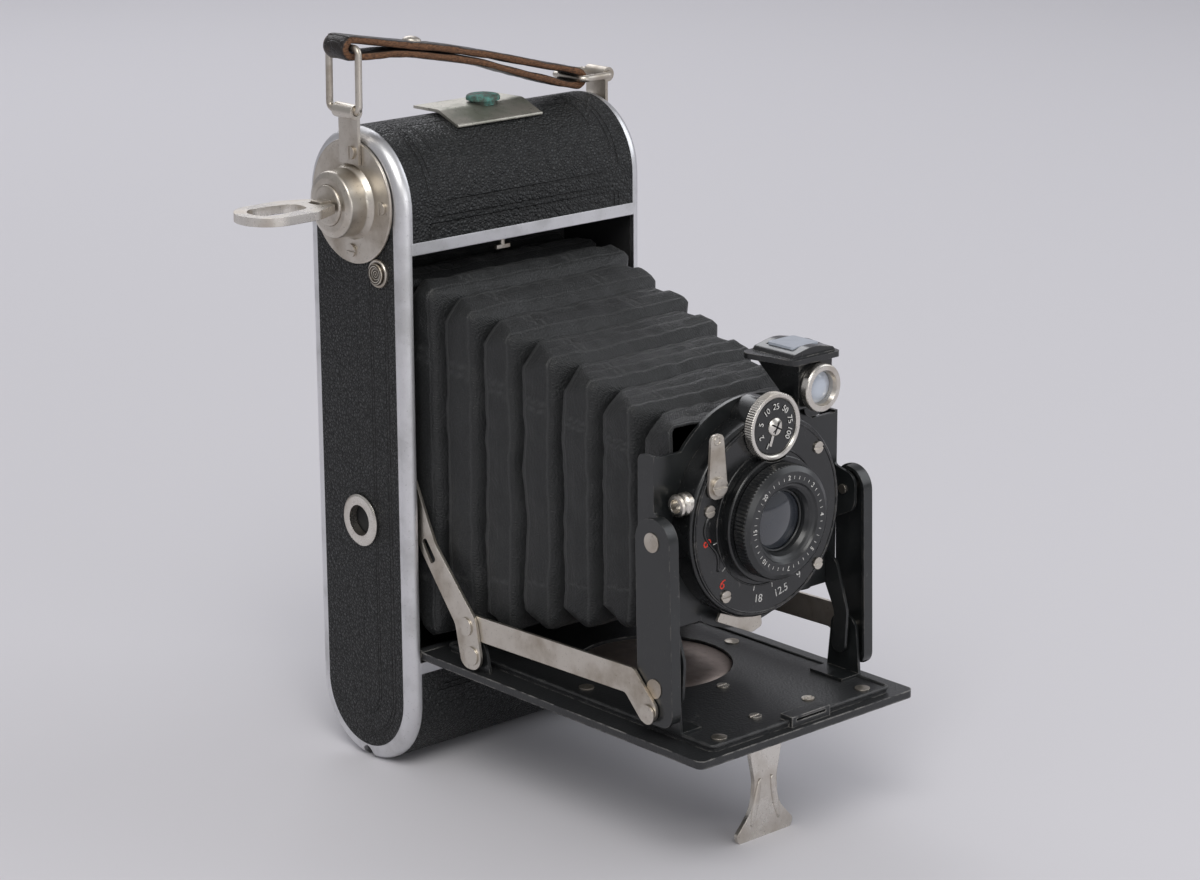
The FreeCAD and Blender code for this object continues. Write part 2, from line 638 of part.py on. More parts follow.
# ---------------------------------------------------------------- bed and foot
def make_bed():
    half, front = SIZES["bed_half"], SIZES["bed_front"]
    flap = plate("BedFlap", "z", "bed_low", "bed_thick",
                 [(-half, -17.5, 0), (half, -17.5, 0), (half, front, 2), (-half, front, 2)])
    barrel = rod("BedBarrel", "x", ("-bed_half", "bed_hinge_depth", "bed_hinge_height"), 1.6, "2 * bed_half")
    bore = rod("BedBore", "x", (-40, "bed_hinge_depth", "bed_hinge_height"), "bed_pin_radius + running_gap", 80)
    node("bed_plate", cut("BedPlate", fuse("BedWhole", flap, barrel), bore))
    node("bed_leather", plate("BedLeather", "z", "bed_low - 0.5", 0.5,
                              [(-35.3, -21, 1), (35.3, -21, 1), (35.3, -121.2, 1.5), (-35.3, -121.2, 1.5)]))
    pan_half = SIZES["pan_half"]
    pan = plate("BedPanSheet", "z", "bed_low + bed_thick", "pan_thick",
                [(-pan_half, -22, 2), (pan_half, -22, 2), (pan_half, -119.85, 2), (-pan_half, -119.85, 2)],
                holes=[(0, "bed_window_depth", "bed_window_radius")])
    keeper = box("BedKeeper", (-5, -121, 33.25), (8, -117, 36))
    mouth = box("KeeperMouth", (-3.5, -122, 34.7), (6.5, -118, 35.3))
    node("bed_pan", fuse("BedPan", pan, cut("KeeperTab", keeper, mouth)))
    places = [(-25, -69.5), (25, -69.5), (-24.5, -116), (24.5, -116)]
    top = "bed_low + bed_thick + pan_thick"
    rivets = [turned(f"BedRivet{i}", "z", place, [(34.6, 0, 0), (34.6, 1.9, 0), (34.9, 1.9, 0), (35.3, 0, 0)])
              for i, place in enumerate(places)]
    screws = [screw(f"BedScrew{i}", "z", (x, y, top), 1.6, 0.4, "across")
              for i, (x, y) in enumerate(((-8.5, -112), (9.5, -112), (0.4, -91.6)))]
    node("bed_rivets", group("BedRivets", *rivets, *screws))

    ears = []
    for side in (-1, 1):
        word = "Left" if side < 0 else "Right"
        ear = plate(f"StrutEar{word}", "x", layer(side, "ear_layer", "link_thick"), "link_thick",
                    [(-109.5, 34.6, 0), (-98.5, 34.6, 0), (-100.0, 49.6, 3.6), (-108, 49.6, 3.6)],
                    holes=[("strut_foot_depth", "strut_foot_height", 1.25)])
        near, far = sorted((side * 24.0, side * 30.8))
        ears.append(fuse(f"StrutBracket{word}", ear, box(f"StrutBracketBase{word}", (near, -109.5, 34.6),
                                                        (far, -98.5, 35.4))))
        ears.append(plate(f"HookEar{word}", "x", layer(side, "hook_ear_layer", "link_thick"), "link_thick",
                          [(-43.5, 33.25, 0), (-34, 33.25, 0), (-36, 41, 2.7), (-41.6, 41, 2.7)],
                          holes=[("hook_pivot_depth", "hook_pivot_height", 1.25)]))
    node("bed_brackets", group("BedBrackets", *ears))


def make_foot():
    """The folding foot that steadies the open bed, and the plate that it hangs from."""
    base = plate("FootPlateSheet", "z", 29.95, 0.8, [(-9, -119, 2), (9, -119, 2), (9, -104, 1), (-9, -104, 1)])
    parts = [base]
    for start in (-8.4, 6.2):
        parts.append(rod(f"FootKnuckle{start}", "x", (start, "foot_depth", "foot_hinge_height"), 1.2, 2.2))
        parts.append(box(f"FootCheek{start}", (start, -107.2, 28.9), (start + 2.2, -104.8, 30.0)))
    hole_bore = rod("FootPlateBore", "x", (-10, "foot_depth", "foot_hinge_height"), 0.75, 20)
    node("foot_plate", cut("FootPlate", fuse("FootPlateWhole", *parts), hole_bore))
    leg = plate("FootLeg", "y", "foot_depth - foot_thick", "foot_thick",
                [(-5.5, 29, 0), (5.5, 29, 0), (5.2, 22, 6), (3.7, 15, 9), (4.3, 8, 9), (9.75, 2.0, 1.4), (8.9, 0, 0.8),
                 (-8.9, 0, 0.8), (-9.75, 2.0, 1.4), (-4.3, 8, 9), (-3.7, 15, 9), (-5.2, 22, 6)])
    barrel = rod("FootBarrel", "x", (-5.8, "foot_depth", "foot_hinge_height"), 1.0, 11.6)
    pin = rod("FootPin", "x", (-8.4, "foot_depth", "foot_hinge_height"), 0.7, 16.8)
    node("folding_foot", fuse("FoldingFoot", leg, barrel, pin))


# ---------------------------------------------------------------- linkage, on both sides
def rivet(name, side, start, end, place, head_thick):
    """A rivet whose shank runs from start out to end, with its flat head outside."""
    y, z = place
    length = f"{end} - ({start})"
    shank = rod(name + "Shank", "x", (layer(side, start, length), y, z), "rivet_radius", length)
    head = rod(name + "Cap", "x", (layer(side, end, head_thick), y, z), "rivet_head_radius", head_thick)
    return fuse(name, shank, head)


def make_linkage():
    strut_foot = ("strut_foot_depth", "strut_foot_height")
    strut_top = ("strut_top_depth", "lens_height")
    arm_foot = ("arm_foot_depth", "arm_foot_height")
    hook_pivot = ("hook_pivot_depth", "hook_pivot_height")
    hook_rivet = ("hook_rivet_depth", "hook_rivet_height")
    struts, long_arms, hook_arms = [], [], []
    strut_rivets, hook_rivets = [], []
    for side in (-1, 1):
        word = "Left" if side < 0 else "Right"
        thick = "link_thick"
        block = plate(f"Strut{word}Block", "x", layer(side, "strut_layer", "strut_flange"), "strut_flange",
                      [(-98.2, 36.9, 3.5), (-110.2, 36.9, 3.5), (-108.8, 87.8, 5.7), (-97.2, 87.8, 5.7)],
                      holes=[(*strut_foot, "rivet_radius"), (*strut_top, "rivet_radius"), (*arm_foot, "rivet_radius")])
        pocket = plate(f"Strut{word}Pocket", "x", layer(side, "strut_layer - 1", "strut_flange - link_thick + 1"),
                       "strut_flange - link_thick + 1",
                       [(-90, 30, 0), (-109.7, 30, 0), (-108.0, 87.0, 4.9), (-103, 87.0, 0), (-103, 95, 0),
                        (-90, 95, 0)])
        struts.append(cut(f"Strut{word}", block, pocket))
        outer = "strut_layer + strut_flange"
        strut_rivets += [
            rivet(f"StrutFootRivet{word}", side, "ear_layer - 0.4", outer, strut_foot, 0.25),
            rivet(f"StrutTopRivet{word}", side, "ear_layer - 0.4", outer, strut_top, 0.25),
            rivet(f"ArmFootRivet{word}", side, "strut_layer + strut_flange - link_thick",
                  "long_arm_layer + link_thick + 0.1", arm_foot, 0.5),
        ]
        long_arms.append(plate(
            f"LongArm{word}", "x", layer(side, "long_arm_layer", thick), thick,
            [(-35.3, 47.9, 2.9), (-97.6, 49.8, 2), (-107.0, 40.6, 3.0), (-102.0, 35.8, 3.0), (-94.9, 43.0, 2),
             (-35.3, 41.5, 2.9)],
            holes=[(*arm_foot, 1.25)]))
        hook_arms.append(plate(
            f"HookArm{word}", "x", layer(side, "hook_arm_layer", thick), thick,
            [(-34.9, 33.7, 3.2), (-32.4, 44.5, 5), (-18.6, 61.5, 6), (-14.8, 78.6, 0.8), (-16.8, 79.6, 0.8),
             (-24.9, 63.6, 6), (-40.4, 47.2, 7), (-42.9, 33.9, 3.6)],
            holes=[(*hook_pivot, "rivet_radius"), (*hook_rivet, "rivet_radius")],
            windows=[[(-25.2, 59.4, 0.8), (-23.2, 57.9, 0.8), (-19.6, 63.2, 0.8), (-21.2, 64.6, 0.8)]]))
        hook_rivets += [
            rivet(f"HookPivotRivet{word}", side, "hook_ear_layer - 0.4", "hook_arm_layer + link_thick",
                  hook_pivot, 0.4),
            rivet(f"HookArmRivet{word}", side, "long_arm_layer + link_thick + 0.05",
                  "hook_arm_layer + link_thick", hook_rivet, 0.4),
        ]
    node("struts", group("Struts", *struts))
    node("long_arms", group("LongArms", *long_arms))
    node("hook_arms", group("HookArms", *hook_arms))
    node("strut_rivets", group("StrutRivets", *strut_rivets))
    node("hook_arm_rivets", group("HookArmRivets", *hook_rivets))


# ---------------------------------------------------------------- lens standard
def make_standard():
    axis = (0, "lens_height")
    disc = plate("BoardDisc", "y", "board_front", "plate_thick", [(0, "lens_height", "board_radius")])
    shoulders = plate("BoardShoulders", "y", "board_front", "plate_thick",
                      [(-30.4, 57.6, 0), (30.4, 57.6, 0), (30.4, 101.0, 0), (-30.4, 101.0, 0)])
    ear = plate("FinderEar", "y", "board_front", "plate_thick", [("finder_pivot_side", "finder_pivot_height", 3.0)])
    flanges = []
    for side in (-1, 1):
        word = "Left" if side < 0 else "Right"
        flanges.append(plate(
            f"BoardFlange{word}", "x", layer(side, "ear_layer", "link_thick"), "link_thick",
            [(-94.5, 57, 2), (-100, 57, 0), (-100, 74, 1), (-107, 77.5, 3.5), (-107, 86.0, 3.4), (-100, 87.6, 1),
             (-100, 101.5, 0), (-94.5, 101.5, 2)],
            holes=[("strut_top_depth", "lens_height", 1.25)]))
    lens_hole = rod("BoardLensHole", "y", (0, -102, "lens_height"), 13.0, 6)
    ear_hole = rod("BoardEarHole", "y", ("finder_pivot_side", -102, "finder_pivot_height"), 1.05, 6)
    node("lens_board", cut("LensBoard", fuse("BoardWhole", disc, shoulders, ear, *flanges), lens_hole, ear_hole))

    case = turned("ShutterDrum", "y", axis, [
        (-100.05, 13.0, 0), (-100.05, 25.0, 0), (-106.3, 25.0, 0.8), (-106.3, 13.0, 0)])
    boss = rod("DialBoss", "y", (0, "shutter_front", "dial_height"), 6.4, 6.2)
    boss_bore = rod("DialBossBore", "y", (0, -108, "lens_height"), 13.0, 12)
    node("shutter_case", cut("ShutterCase", fuse("ShutterWhole", case, boss), boss_bore))
    node("shutter_face", plate("ShutterFace", "y", "shutter_front - 0.5", 0.5, [(0, "lens_height", "face_radius")],
                               holes=[(0, "lens_height", 13.0)]))
    barrel = turned("BarrelTube", "y", axis, [
        (-109.6, 10.5, 0), (-109.6, 15.6, 0.5), (-106.85, 15.6, 0), (-106.85, 12.9, 0), (-97.5, 12.9, 0),
        (-97.5, 10.5, 0)])
    dial_room = rod("BarrelDialRoom", "y", (0, -110, "dial_height"), "dial_radius + 0.15", 4)
    node("lens_barrel", cut("LensBarrel", barrel, dial_room))
    socket = turned("SocketTube", "x", (-103.6, 89.5), sharp(
        (-27.2, 1.7), (-27.2, 2.5), (-26.6, 2.8), (-26.0, 2.4), (-25.4, 2.4), (-24.8, 2.8), (-23.4, 2.8),
        (-23.4, 0), (-24.8, 0), (-24.8, 1.7)))
    drum_room = rod("SocketDrumRoom", "y", (0, -107, "lens_height"), "shutter_radius", 8)
    node("cable_socket", cut("CableSocket", socket, drum_room))
    face = "shutter_front - 0.5"
    screws = [screw(f"FaceScrew{i}", "y", (x, face, z), 1.5, -0.5, "across")
              for i, (x, z) in enumerate(((-19.2, 87.3), (17.4, 66.5), (-13.8, 65.0), (17.0, 96.0)))]
    node("face_screws", group("FaceScrews", *screws))
    links = [plate(f"BoardLink{side}", "x", layer(side, 27.3, 0.8), 0.8,
                   [(-100.1, 66, 0), (-103.6, 64, 3), (-107.6, 52, 8), (-107.0, 40.6, 2.2), (-102.4, 40.6, 2.2),
                    (-103.4, 51, 6), (-100.1, 57.5, 0)]) for side in (-1, 1)]
    node("board_links", group("BoardLinks", *links))


def make_controls():
    axis = (0, "lens_height")
    node("focus_ring", turned("FocusRing", "y", axis, [
        (-114.1, 8.3, 0), (-114.1, 14.2, 0.7), (-109.75, 14.2, 0), (-109.75, 10.42, 0), (-104, 10.42, 0),
        (-104, 7.6, 0), (-110.0, 7.6, 0), (-111.2, 8.3, 0)]))
    node("front_glass", turned("FrontGlass", "y", axis, [
        (-108.6, 0, 0), (-108.6, 7.55, 0), (-110.4, 7.55, 0), (-112.4, 4.4, 8), (-112.4, 0, 0)]))
    node("speed_dial", turned("SpeedDial", "y", (0, "dial_height"), [
        (-106.9, 0, 0), (-106.9, 8.3, 0), (-109.2, 8.3, 0.4), (-109.2, 7.4, 0), (-108.9, 7.2, 0), (-108.9, 2.6, 0),
        (-110.0, 2.4, 0.4), (-110.0, 0, 0)]))
    blade = plate("LeverBlade", "y", -107.9, 0.8, [(-20.5, 90.2, 2.6), (-14.1, 90.2, 2.6), (-15.8, 106.0, 1.6),
                                                  (-19.7, 106.0, 1.6)])
    head = screw("LeverScrew", "y", (-17.3, -107.9, 93.3), 2.3, -0.8, "across")
    node("release_lever", fuse("ReleaseLever", blade, head))
    node("aperture_lever", plate("ApertureLever", "y", -104.2, 0.8, [
        (-12.7, 59.9, 0), (-13.9, 58.0, 0.5), (-2.2, 52.6, 2), (1.2, 53.6, 1), (0.8, 56.5, 0), (-6.2, 57.3, 8)]))


def make_finder():
    """The brilliant finder, which swings over for upright or level pictures."""
    middle, roof = SIZES["finder_side"], SIZES["finder_roof"]
    wedge = plate("FinderWedge", "x", "finder_side - 5.6", 11.2, [
        (-92.4, 118.3, 0), (-93.0, 117.0, 0.8), (-101.2, 110.4, 1), (-104.6, 106.4, 1), (-107.4, 106.4, 1),
        (-107.6, 118.3, 0)])
    rim = plate("FinderRim", "z", "finder_roof", 1.4, [
        (middle - 11.2, -92.4, 2.5), (middle + 11.2, -92.4, 2.5),
        (middle + 7.8, -108.4, 1.5), (middle - 7.8, -108.4, 1.5)])
    crown = plate("FinderCrown", "y", -107.0, 13.6, [
        (middle - 7.4, roof + 1.2, 0), (middle + 7.4, roof + 1.2, 0), (middle + 6.6, roof + 2.4, 1),
        (middle, roof + 3.8, 14), (middle - 6.6, roof + 2.4, 1)])
    arm = plate("FinderArm", "y", -101.2, 0.9, [
        (18.0, 101.9, 2.2), (24.6, 101.9, 2.2), (23.4, 118.3, 0), (18.0, 118.3, 0)])
    pin = rod("FinderPin", "y", ("finder_pivot_side", -101.0, "finder_pivot_height"), 1.0, 1.95)
    throat = rod("FinderThroat", "y", ("finder_side", -110, "finder_ring_height"), 3.95, 8)
    seat = box("FinderSeat", ("finder_side - 4.6", -104.4, "finder_roof + 1.8"),
               ("finder_side + 4.6", -95.4, "finder_roof + 5"))
    whole = fuse("FinderWhole", wedge, rim, crown, arm, pin)
    node("finder_housing", cut("FinderHousing", whole, throat, seat))
    node("finder_ring", turned("FinderRing", "y", ("finder_side", "finder_ring_height"), [
        (-107.65, 3.95, 0), (-107.65, 5.2, 0), (-108.65, 5.2, 0), (-108.65, 5.9, 0), (-110.6, 5.9, 0.6),
        (-110.6, 4.4, 0), (-109.6, 3.95, 0)]))
    front = turned("FinderFrontGlass", "y", ("finder_side", "finder_ring_height"), [
        (-107.6, 0, 0), (-107.6, 3.9, 0), (-108.4, 3.9, 0), (-109.2, 2.2, 4), (-109.2, 0, 0)])
    top = plate("FinderTopGlass", "z", "finder_roof + 1.8", 1.6, [
        (middle - 4.5, -95.5, 0.8), (middle + 4.5, -95.5, 0.8),
        (middle + 4.5, -104.3, 0.8), (middle - 4.5, -104.3, 0.8)])
    node("finder_glasses", group("FinderGlasses", front, top))


# ---------------------------------------------------------------- build, check and write
make_shells()
make_back_parts()
make_chassis()
make_bellows()
make_winder()
make_side_fittings()
make_latch()
make_strap()
make_bed()
make_foot()
make_linkage()
make_standard()
make_controls()
make_finder()
doc.recompute()

failed = [thing.Label for thing in doc.Objects if {"Invalid", "Error"} & set(thing.State)]
if failed:
    raise RuntimeError(f"failed objects: {failed}")
for label, thing in nodes.items():
    if thing.Shape.isNull() or not thing.Shape.isValid():
        raise RuntimeError(f"{label} has no valid shape")

os.makedirs("parts", exist_ok=True)
for label, thing in nodes.items():
    thing.Shape.exportStep(f"parts/{label}.step")
print(len(nodes), "nodes")
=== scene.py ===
import math

import bpy
from mathutils import Matrix, Vector, noise


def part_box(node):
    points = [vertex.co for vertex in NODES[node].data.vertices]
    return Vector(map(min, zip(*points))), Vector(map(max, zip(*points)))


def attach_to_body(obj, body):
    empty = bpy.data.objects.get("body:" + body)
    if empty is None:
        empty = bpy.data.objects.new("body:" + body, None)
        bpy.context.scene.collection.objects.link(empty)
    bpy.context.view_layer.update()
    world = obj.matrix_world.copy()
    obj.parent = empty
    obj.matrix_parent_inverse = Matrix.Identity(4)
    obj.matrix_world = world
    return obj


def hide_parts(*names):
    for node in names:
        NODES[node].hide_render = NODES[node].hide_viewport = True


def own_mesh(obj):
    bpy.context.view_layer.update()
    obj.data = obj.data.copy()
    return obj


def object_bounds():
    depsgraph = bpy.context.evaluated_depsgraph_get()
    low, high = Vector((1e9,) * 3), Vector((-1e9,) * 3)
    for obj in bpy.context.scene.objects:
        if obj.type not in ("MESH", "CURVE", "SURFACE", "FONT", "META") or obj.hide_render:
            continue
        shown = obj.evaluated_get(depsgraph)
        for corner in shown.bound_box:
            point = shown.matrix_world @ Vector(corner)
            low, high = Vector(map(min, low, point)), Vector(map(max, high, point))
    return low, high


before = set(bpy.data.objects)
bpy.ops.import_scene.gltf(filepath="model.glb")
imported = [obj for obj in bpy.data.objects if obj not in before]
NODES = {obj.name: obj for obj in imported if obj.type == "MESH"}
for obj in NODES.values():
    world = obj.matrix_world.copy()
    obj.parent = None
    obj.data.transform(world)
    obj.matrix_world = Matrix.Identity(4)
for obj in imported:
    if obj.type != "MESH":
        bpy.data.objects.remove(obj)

cad_low, cad_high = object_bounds()
MM = 0.001
BODY_HEIGHT = 0.167
SIDE_RADIUS = cad_high.y - max(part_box("cover_leathers")[0].y, 0)


# ---------------------------------------------------------------- camera, lights and floor
def make_camera():
    """A short telephoto from the left front, a little above the object. Places are in millimetres."""
    place = Vector((-518.43, -624.41, 310.19)) * MM
    target = Vector((-8.48, -56.46, 92.18)) * MM
    roll = math.radians(-0.24)
    ahead = (target - place).normalized()
    right = ahead.cross(Vector((0, 0, 1))).normalized()
    up = right.cross(ahead)
    side = right * math.cos(roll) + up * math.sin(roll)
    top = up * math.cos(roll) - right * math.sin(roll)
    data = bpy.data.cameras.new("Camera")
    data.lens = 96.04
    data.sensor_width = 36.0
    camera = bpy.data.objects.new("Camera", data)
    turn = Matrix((side, top, -ahead)).transposed().to_4x4()
    camera.matrix_world = Matrix.Translation(place) @ turn
    bpy.context.scene.collection.objects.link(camera)
    bpy.context.scene.camera = camera


def area_light(name, place, target, size, power, colour):
    """A soft rectangular light that looks from place to target."""
    data = bpy.data.lights.new(name, "AREA")
    data.shape = "RECTANGLE"
    data.size, data.size_y = size
    data.energy = power
    data.color = colour
    light = bpy.data.objects.new(name, data)
    light.location = place
    light.rotation_euler = (Vector(target) - Vector(place)).to_track_quat("-Z", "Y").to_euler()
    bpy.context.scene.collection.objects.link(light)


def make_stage():
    """A pale lavender-grey sweep: flat floor that curves up behind the camera."""
    near, far, bend, wall, half_width = -3.0, 1.6, 0.8, 2.5, 4.0
    bend_steps = 12
    profile = [(near, 0.0), (far, 0.0)]
    for i in range(1, bend_steps + 1):
        angle = math.pi / 2 * i / bend_steps
        profile.append((far + bend * math.sin(angle), bend * (1 - math.cos(angle))))
    profile.append((far + bend, bend + wall))
    vertices, faces = [], []
    for along, height in profile:
        for across in (-half_width, half_width):
            vertices.append((across, along, height))
    for i in range(len(profile) - 1):
        faces.append((2 * i, 2 * i + 1, 2 * i + 3, 2 * i + 2))
    mesh = bpy.data.meshes.new("floor")
    mesh.from_pydata(vertices, [], faces)
    mesh.shade_smooth()
    floor = bpy.data.objects.new("floor", mesh)
    floor.rotation_euler.z = math.radians(-40)
    bpy.context.scene.collection.objects.link(floor)
    material, graph = new_material("paper_sweep")
    grain = graph.noise(900, detail=2)
    graph.set(base=(0.665, 0.655, 0.685), rough=0.9, specular=0.15)
    graph.bump(grain, 0.02, 0.0002)
    mesh.materials.append(material)


def make_lights():
    """A key from the left front, a fill, a rim from behind and a low card, under a pale even sky."""
    area_light("key", (-0.9, -0.9, 1.5), (0, -0.03, 0.08), (1.1, 1.1), 17, (1.0, 0.985, 0.96))
    area_light("fill", (1.3, -0.7, 0.9), (0, -0.03, 0.09), (1.2, 1.2), 7, (0.93, 0.96, 1.0))
    area_light("rim", (0.5, 1.3, 1.1), (0, 0, 0.1), (1.4, 0.8), 8, (0.96, 0.97, 1.0))
    area_light("front_card", (-0.1, -1.3, 0.35), (0, 0, 0.09), (0.9, 0.5), 2.2, (1.0, 1.0, 1.0))
    world = bpy.data.worlds.new("studio")
    world.use_nodes = True
    background = world.node_tree.nodes["Background"]
    background.inputs["Color"].default_value = (0.86, 0.86, 0.89, 1)
    background.inputs["Strength"].default_value = 0.42
    bpy.context.scene.world = world
    bpy.context.scene.view_settings.view_transform = "Standard"


# ---------------------------------------------------------------- material graphs
class Graph:
    """Short calls for one material's nodes. Scales are per metre, in each object's own frame."""

    def __init__(self, tree):
        self.tree = tree
        self.shader = tree.nodes["Principled BSDF"]
        self.where = tree.nodes.new("ShaderNodeTexCoord").outputs["Object"]
        self.split = None

    def link(self, source, socket):
        """Joins a socket to another socket, or sets it to a number or a colour."""
        if isinstance(source, (int, float)):
            socket.default_value = source
        elif isinstance(source, tuple):
            socket.default_value = (*source, 1.0)[:4]
        else:
            self.tree.links.new(source, socket)

    def axis(self, name):
        """X, Y or Z of the place in the object's frame."""
        if self.split is None:
            self.split = self.tree.nodes.new("ShaderNodeSeparateXYZ")
            self.link(self.where, self.split.inputs[0])
        return self.split.outputs[name]

    def math(self, operation, first, second=0.0):
        made = self.tree.nodes.new("ShaderNodeMath")
        made.operation = operation
        self.link(first, made.inputs[0])
        self.link(second, made.inputs[1])
        return made.outputs[0]

    def stretched(self, factors):
        """The place in the object's frame, scaled on each axis."""
        mapping = self.tree.nodes.new("ShaderNodeMapping")
        mapping.inputs["Scale"].default_value = factors
        self.link(self.where, mapping.inputs["Vector"])
        return mapping.outputs[0]

    def noise(self, scale, detail=4, rough=0.55, vector=None):
        made = self.tree.nodes.new("ShaderNodeTexNoise")
        made.inputs["Scale"].default_value = scale
        made.inputs["Detail"].default_value = detail
        made.inputs["Roughness"].default_value = rough
        self.link(vector or self.where, made.inputs["Vector"])
        return made.outputs["Fac"]

    def cells(self, scale, feature="F1"):
        """The distance to the middle (F1) or the edge of small cells."""
        made = self.tree.nodes.new("ShaderNodeTexVoronoi")
        made.feature = feature
        made.inputs["Scale"].default_value = scale
        self.link(self.where, made.inputs["Vector"])
        return made.outputs["Distance"]

    def ramp(self, value, low, high):
        """0 below low, 1 above high, smooth between."""
        made = self.tree.nodes.new("ShaderNodeMapRange")
        made.interpolation_type = "SMOOTHSTEP"
        made.inputs["From Min"].default_value = low
        made.inputs["From Max"].default_value = high
        self.link(value, made.inputs["Value"])
        return made.outputs[0]

    def line(self, value, centre, half):
        """1 on a line where value equals centre, fading out at half its width."""
        away = self.math("ABSOLUTE", self.math("SUBTRACT", value, centre))
        return self.math("SUBTRACT", 1.0, self.ramp(away, half * 0.4, half))

    def mix(self, share, first, second):
        """A colour that goes from first to second."""
        made = self.tree.nodes.new("ShaderNodeMix")
        made.data_type = "RGBA"
        self.link(share, made.inputs[0])
        self.link(first, made.inputs[6])
        self.link(second, made.inputs[7])
        return made.outputs[2]

    def blend(self, share, first, second):
        """A number that goes from first to second."""
        made = self.tree.nodes.new("ShaderNodeMix")
        self.link(share, made.inputs[0])
        self.link(first, made.inputs[2])
        self.link(second, made.inputs[3])
        return made.outputs[0]

    def normal_axis(self, name):
        """X, Y or Z of the surface's own normal."""
        made = self.tree.nodes.new("ShaderNodeSeparateXYZ")
        self.link(self.tree.nodes.new("ShaderNodeTexCoord").outputs["Normal"], made.inputs[0])
        return made.outputs[name]

    def edges(self, radius):
        """1 near hard edges, from the bevel node's turn of the normal."""
        bevel = self.tree.nodes.new("ShaderNodeBevel")
        bevel.samples = 4
        bevel.inputs["Radius"].default_value = radius
        flat = self.tree.nodes.new("ShaderNodeNewGeometry").outputs["Normal"]
        dot = self.tree.nodes.new("ShaderNodeVectorMath")
        dot.operation = "DOT_PRODUCT"
        self.link(bevel.outputs[0], dot.inputs[0])
        self.link(flat, dot.inputs[1])
        return self.ramp(self.math("SUBTRACT", 1.0, dot.outputs["Value"]), 0.01, 0.12)

    def bump(self, height, strength, distance, bevel=0.0):
        """Relief from a height, over edges that are rounded by bevel."""
        made = self.tree.nodes.new("ShaderNodeBump")
        made.inputs["Strength"].default_value = strength
        made.inputs["Distance"].default_value = distance
        self.link(height, made.inputs["Height"])
        if bevel:
            soft = self.tree.nodes.new("ShaderNodeBevel")
            soft.samples = 4
            soft.inputs["Radius"].default_value = bevel
            self.link(soft.outputs[0], made.inputs["Normal"])
        self.link(made.outputs[0], self.shader.inputs["Normal"])

    def set(self, base, rough, metal=0.0, specular=0.5, coat=0.0, coat_rough=0.1, sheen=0.0, ior=1.5):
        """Colour and roughness may be sockets; the rest are constants."""
        inputs = self.shader.inputs
        self.link(base, inputs["Base Color"])
        self.link(rough, inputs["Roughness"])
        constants = {
            "Metallic": metal, "Specular IOR Level": specular, "IOR": ior,
            "Coat Weight": coat, "Coat Roughness": coat_rough, "Sheen Weight": sheen, "Sheen Roughness": 0.5,
        }
        for name, value in constants.items():
            inputs[name].default_value = value


def new_material(name):
    """A material and the graph that fills it."""
    material = bpy.data.materials.new(name)
    material.use_nodes = True
    return material, Graph(material.node_tree)


def metal(name, colour, stain, rough, brush=(1, 1, 1), bevel=0.00018, pits=0.35):
    """Plated or bare metal: brushed grain, stains, fine pits and soft edges."""
    material, g = new_material(name)
    cloud = g.ramp(g.noise(95, detail=5), 0.42, 0.72)
    grain = g.noise(2600, detail=2, vector=g.stretched(brush))
    specks = g.ramp(g.noise(1500, detail=3), 0.62, 0.70)
    tint = g.mix(cloud, colour, stain)
    tint = g.mix(g.math("MULTIPLY", specks, pits), tint, tuple(v * 0.35 for v in stain))
    patchy = g.math("ADD", rough, g.math("MULTIPLY", cloud, 0.14))
    g.set(base=tint, rough=g.math("ADD", patchy, g.math("MULTIPLY", grain, 0.10)), metal=1.0)
    height = g.math("ADD", grain, g.math("MULTIPLY", specks, -0.8))
    g.bump(height, 0.25, 0.00003, bevel)
    return material


def leather(name, emboss, tint=(0.013, 0.0145, 0.015), grain=1150, proud=0.00034):
    """Black pebbled leather, with painted highlights on the pebble tops and painted shade in the creases and
    pressed lines. emboss is a function of the graph that gives pressed lines from 0 to 1.
    """
    material, g = new_material(name)
    wobble = g.noise(420, detail=3)
    cell = g.cells(grain, "F1")
    crease = g.ramp(g.cells(grain, "DISTANCE_TO_EDGE"), 0.0, 0.22)
    wrinkles = g.cells(grain * 0.36, "DISTANCE_TO_EDGE")
    pebble = g.math("MULTIPLY", g.math("SUBTRACT", 1.0, cell), crease)
    pressed = emboss(g)
    height = g.math("ADD", pebble, g.math("MULTIPLY", g.ramp(wrinkles, 0.0, 0.16), 0.5))
    height = g.math("ADD", height, g.math("MULTIPLY", wobble, 0.6))
    height = g.math("SUBTRACT", height, g.math("MULTIPLY", pressed, 2.6))
    worn = g.ramp(g.noise(60, detail=6, rough=0.7), 0.56, 0.78)
    # Painted highlight: the tops of the pebbles are made lighter than the tint.
    top = g.mix(g.math("MULTIPLY", pebble, 0.5), tint, tuple(v * 2.1 for v in tint))
    top = g.mix(g.math("MULTIPLY", worn, 0.35), top, (0.055, 0.055, 0.056))
    # Painted shade: the pressed lines are darkened to a third of the tint.
    top = g.mix(g.math("MULTIPLY", pressed, 0.75), top, tuple(v * 0.35 for v in tint))
    # Painted shade: the creases between the pebbles are darkened to a third of the tint.
    top = g.mix(crease, tuple(v * 0.3 for v in tint), top)
    rough = g.blend(crease, 0.62, g.blend(worn, 0.33, 0.46))
    g.set(base=top, rough=rough, specular=0.42)
    g.bump(height, 1.0, proud)
    return material


def no_lines(g):
    """A panel with nothing pressed in it."""
    return g.math("MULTIPLY", g.axis("X"), 0.0)


def either(g, *values):
    """The largest of the values."""
    out = values[0]
    for value in values[1:]:
        out = g.math("MAXIMUM", out, value)
    return out


def within(g, value, low, high):
    """1 between low and high."""
    inside = g.math("GREATER_THAN", value, low)
    return g.math("MULTIPLY", inside, g.math("LESS_THAN", value, high))


